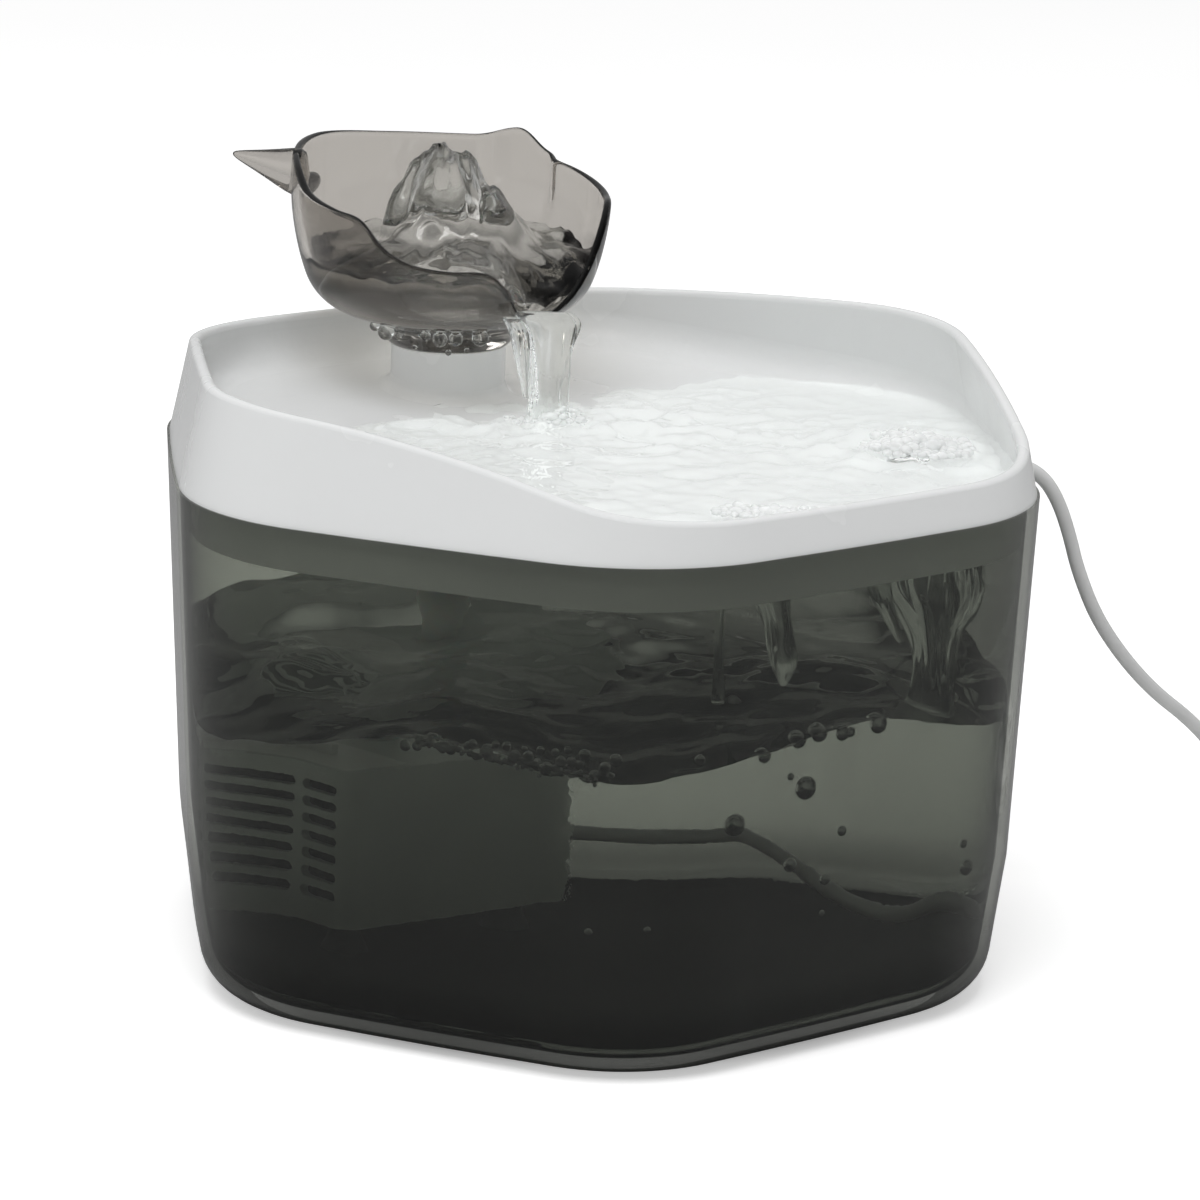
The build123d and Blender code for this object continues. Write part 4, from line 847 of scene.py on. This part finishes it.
def make_tank_water(materials):
    """Closed body of water: the wavy top, then down the walls and round the foot to the floor."""
    columns, rings, foot_rows = 216, 56, 6
    angles = [360 * j / columns for j in range(columns)]
    edge_inset = tank_inset(TANK_LEVEL) + TANK_WALL + WATER_GAP
    edge = [hexagon_radius(a, edge_inset) for a in angles]
    vertices = []
    for k in range(rings, 0, -1):
        share = k / rings
        for a, r in zip(angles, edge):
            x, y = r * share * cos(radians(a)), r * share * sin(radians(a))
            vertices.append((x, y, tank_wave(x, y)))
    vertices.append((0, 0, tank_wave(0, 0)))
    walls = [(tank_inset(z) + TANK_WALL + WATER_GAP, z) for z in WATER_LEVELS]
    walls += [foot_round(90 * k / foot_rows, WATER_GAP, WATER_GAP) for k in range(1, foot_rows + 1)]
    for inset, z in walls:
        vertices += hexagon_ring(columns, inset, z)
    vertices.append((0, 0, TANK_FLOOR + WATER_GAP))
    faces = pool_faces(rings, len(walls), columns)
    water = object_from("tank_water", vertices, faces, materials["water"])
    sharp_edges(water, columns)
    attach(water, "root")


def make_floor_shade_dish(materials):
    """Painted shade as seen through the water: a dark shallow dish just inside the tank's floor and foot."""
    columns, rows = 144, 8
    vertices = [(0, 0, TANK_FLOOR + SHADE_LIFT)]
    for k in range(rows):
        inset, z = foot_round(90 - SHADE_TURN * k / (rows - 1), SHADE_LIFT, SHADE_GAP)
        vertices += hexagon_ring(columns, inset, z)
    faces = fan(1, columns, 0) + shifted(lathe_faces(rows, columns, False), 1)
    # Painted shade: a near-black dish where the tank's floor and foot look dark.
    dish = object_from("floor_shade_dish", vertices, faces, materials["painted_floor_shade"])
    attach(dish, "root")


def bowl_wave(x, y):
    """Height of the water in the bowl, rough where the stream lands and where it runs to the right."""
    right, depth = to_camera(x, y)
    splash_x, splash_y = SPLASH_AT
    run_x, run_y = RUN_AT
    splash = exp(-((right - splash_x) ** 2 / 1500.0 + (depth - splash_y) ** 2 / 700.0))
    run = exp(-((right - run_x) ** 2 + (depth - run_y) ** 2) / 420.0)
    rough = 0.45 + 2.0 * splash + 2.6 * run
    waves = ripple(x, y, 0.11, 0.13, 0.4) * 0.9 + ripple(x, y, 0.28, 0.30, 5.4) * 0.55
    return BOWL_LEVEL + rough * waves + 2.2 * run


def bowl_half_width(y, inset):
    """Half width of the bowl's outline at y."""
    low, high = 0.0, 110.0
    for _ in range(26):
        x = (low + high) / 2
        if hypot(x, y) < hexagon_radius(degrees(atan2(y, x)), inset):
            low = x
        else:
            high = x
    return low


def make_bowl_water(materials):
    """Closed body of water over the bowl's slope, from the front edge to the column."""
    columns, rows = 150, 110
    front = -(SIDE_APOTHEM + SIDE_BULGE - BOWL_FRONT_INSET)
    vertices = []
    for on_top in (True, False):
        for i in range(rows + 1):
            y = front + (BOWL_BACK - front) * i / rows
            half = bowl_half_width(y, BOWL_INSET)
            under = min(FLOOR_MID + y * tan(radians(FLOOR_TILT)) - 1.0, BOWL_LEVEL - 1.5)
            for j in range(columns + 1):
                x = half * (2 * j / columns - 1)
                vertices.append((x, y, bowl_wave(x, y) if on_top else under))
    size = columns + 1
    count = size * (rows + 1)
    starts = [i * size + j for i in range(rows) for j in range(columns)]
    top = [(a, a + 1, a + 1 + size, a + size) for a in starts]
    rim = [*range(columns), *range(columns, rows * size, size)]
    rim += [count - 1 - a for a in rim]
    side = [(a, b, count + b, count + a) for a, b in zip(rim, rim[1:] + rim[:1])]
    faces = top + shifted(top, count) + side
    water = object_from("bowl_water", vertices, faces, materials["water"])
    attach(water, "tray")


def cup_wave(u, v):
    """Height of the water in the cup: a boiling mound over the stem that runs down to the notch."""
    r = hypot(u, v)
    angle = degrees(atan2(v, u))
    lobes = [height * exp(-0.8 * (hypot(u - x, v - y) / reach) ** 4) for x, y, height, reach in CUP_LOBES]
    mound = sum(height**3 for height in lobes) ** (1 / 3)
    mound *= 1 + 0.22 * noise.noise(Vector((u * 0.21 + 4.0, v * 0.21, 0.7)))
    mound *= 1 + 0.08 * noise.noise(Vector((u * 0.42, v * 0.42 + 2.0, 3.3)))
    lump = ripple(u, v, 0.12, 0.12, 2.2) * 2.0
    fine = ripple(u, v, 0.30, 0.30, 9.0) * (1.1 + 1.1 * exp(-(r / 20) ** 2))
    notch = 10.0 * exp(-((angle - NOTCH_ANGLE) / 22.0) ** 2) * step_between(12, 33, r)
    return CUP_LEVEL - 1.0 + mound + lump + fine - notch + 0.05 * v


def make_cup_water(materials):
    """Closed body of water in the cup: the mound, then down the wall to the cup's floor."""
    columns, rings = 128, 30
    angles = [360 * j / columns for j in range(columns)]
    tops = [cup_wave(CUP_WATER_R * cos(radians(a)), CUP_WATER_R * sin(radians(a))) for a in angles]
    vertices = []
    for k in range(rings, 0, -1):
        for a, top in zip(angles, tops):
            r = (smooth_table(CUP_PROFILE, top) - CUP_WALL + INTO_WALL) * (k / rings)
            vertices.append(cup_point(r, a, cup_wave(r * cos(radians(a)), r * sin(radians(a)))))
    vertices.append(cup_point(0, 0, cup_wave(0, 0)))
    shares = [0.85, 0.7, 0.55, 0.4, 0.28, 0.18, 0.1, 0.04, 0.0]
    for share in shares:
        for a, top in zip(angles, tops):
            z = CUP_WATER_FOOT + (top - CUP_WATER_FOOT) * share
            vertices.append(cup_point(smooth_table(CUP_PROFILE, z - 1.6) - CUP_WALL + INTO_WALL, a, z))
    vertices.append(cup_point(0, 0, CUP_WATER_FOOT))
    faces = pool_faces(rings, len(shares), columns)
    water = object_from("cup_water", vertices, faces, materials["water"])
    sharp_edges(water, columns)
    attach(water, "spout_cup")


def balls(name, spots, material, body, flat=1.0):
    """Small round pieces in one mesh: each spot is x, y, z and radius."""
    template = bmesh.new()
    bmesh.ops.create_icosphere(template, subdivisions=3, radius=1.0)
    shape = [tuple(vertex.co) for vertex in template.verts]
    faces = [[vertex.index for vertex in face.verts] for face in template.faces]
    template.free()
    vertices, triangles = [], []
    for x, y, z, radius in spots:
        first = len(vertices)
        vertices += [(x + radius * a, y + radius * b, z + flat * radius * c) for a, b, c in shape]
        triangles += shifted(faces, first)
    made = object_from(name, vertices, triangles, material)
    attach(made, body)


def path_values(path, share):
    """Each of the values that a path's rows hold, at a share of its length."""
    last = len(path) - 1
    tables = [[(k / last, value) for k, value in enumerate(values)] for values in zip(*path)]
    return [smooth_table(table, share) for table in tables]


def rope(name, path, seed, material, body):
    """Falling water: path holds (x, y, z, half width, half depth), wide across the camera's view."""
    around, steps = 40, 44
    vertices = []
    for i in range(steps + 1):
        x, y, z, wide, deep = path_values(path, i / steps)
        for j in range(around):
            turn = 2 * pi * j / around
            grain = noise.noise(Vector((cos(turn) * 1.2 + seed, sin(turn) * 1.2, z * 0.05)))
            fold = noise.noise(Vector((cos(turn) * 4.5, sin(turn) * 4.5 + seed, z * 0.09)))
            ridge = noise.noise(Vector((cos(turn) * 9.0 + seed, sin(turn) * 9.0, z * 0.05)))
            size = 1 + 0.30 * grain + 0.24 * fold + 0.16 * ridge
            dx, dy = from_camera(wide * size * cos(turn), deep * size * sin(turn))
            vertices.append((x + dx, y + dy, z))
    faces = lathe_faces(steps + 1, around, False) + end_faces(steps + 1, around)
    made = object_from(name, vertices, faces, material)
    subdivide(made)
    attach(made, body)


def make_streams(materials):
    """Water that falls from the cup's notch, and from the tray's two drains into the tank."""
    for name, seed, rows in (("stream", 3.0, STREAM), ("stream_strand", 8.0, STRAND)):
        path = [(*cup_point(radius, angle, z), wide, deep) for radius, angle, z, wide, deep in rows]
        rope(name, path, seed, materials["water"], "spout_cup")
    for name, seed, rows in FALLS:
        path = [(*from_camera(right, depth), z, wide, deep) for right, depth, z, wide, deep in rows]
        rope(name, path, seed, materials["fall"], "tray")


def froth_spots():
    """Pieces of broken water on the bowl's surface, in a sunflower's order within each group."""
    spots = []
    for group, (right, depth, wide, deep, count, largest) in enumerate(FROTH):
        for k in range(count):
            reach = sqrt((k + 0.5) / count)
            turn = k * GOLDEN_TURN + group
            x, y = from_camera(right + wide * reach * cos(turn), depth + deep * reach * sin(turn))
            grain = abs(noise.noise(Vector((k * 0.71, group * 3.3, 0.2))))
            size = largest * (0.45 + 1.1 * grain) * (1.15 - reach / 2)
            spots.append((x, y, bowl_wave(x, y) + size * 0.15, size))
    return spots


def froth_line():
    """Small bubbles held under the tank's waterline, along the wall that faces the camera's left."""
    spots = []
    for k in range(LINE_BUBBLES):
        angle = LINE_START + LINE_SPAN * ((k * GOLDEN_SHARE) % 1.0)
        lift = noise.noise(Vector((k * 0.9, 0.3, 4.0)))
        inward = TANK_WALL + 1.6 + 3.4 * abs(noise.noise(Vector((k * 1.7, 2.0, 0.5))))
        z = LINE_Z + 0.14 * (LINE_START - angle) + 2.2 * lift
        r = hexagon_radius(angle, tank_inset(z) + inward)
        size = 0.45 + 0.9 * abs(noise.noise(Vector((k * 2.3, 1.0, 7.0))))
        spots.append((r * cos(radians(angle)), r * sin(radians(angle)), z, size))
    return spots


def make_drops(materials):
    """Bubbles in the tank's water, drops on the cup's collar, froth where the stream lands and runs."""
    balls("bubbles", BUBBLES + froth_line(), materials["bubble"], "root")
    drops = [(*cup_point(radius, angle, z), size) for radius, angle, z, size in COLLAR_DROPS]
    balls("collar_drops", drops, materials["water"], "spout_cup")
    balls("froth", froth_spots(), materials["froth"], "tray", flat=0.75)


# ---- materials on the carried-over pieces ----
def dress_nodes(materials):
    """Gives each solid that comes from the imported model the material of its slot."""
    own = {"smoked_clear": "smoked", "smoked_cup": "cup"}
    for row in frame["record"]["subparts"]:
        node = frame["nodes"].get(row["node"])
        slot = row.get("material_slot") or row.get("material")
        if node is None or slot is None:
            continue
        node.data.materials.clear()
        node.data.materials.append(materials[own.get(slot, slot)])


bpy.context.scene.view_settings.view_transform = "Standard"
materials = make_materials()
make_camera()
make_cords(materials)
make_world()
make_lamp("key", place=(-500.0, -450.0, 1500.0), size=900.0, watts=15.0, mirrored=False)
make_lamp("fill", place=(1100.0, -500.0, 900.0), size=1000.0, watts=1.0)
make_floor()
dress_nodes(materials)
make_cup(materials)
make_beak(materials)
make_tank_water(materials)
make_floor_shade_dish(materials)
make_bowl_water(materials)
make_cup_water(materials)
make_streams(materials)
make_drops(materials)
make_eye(materials)
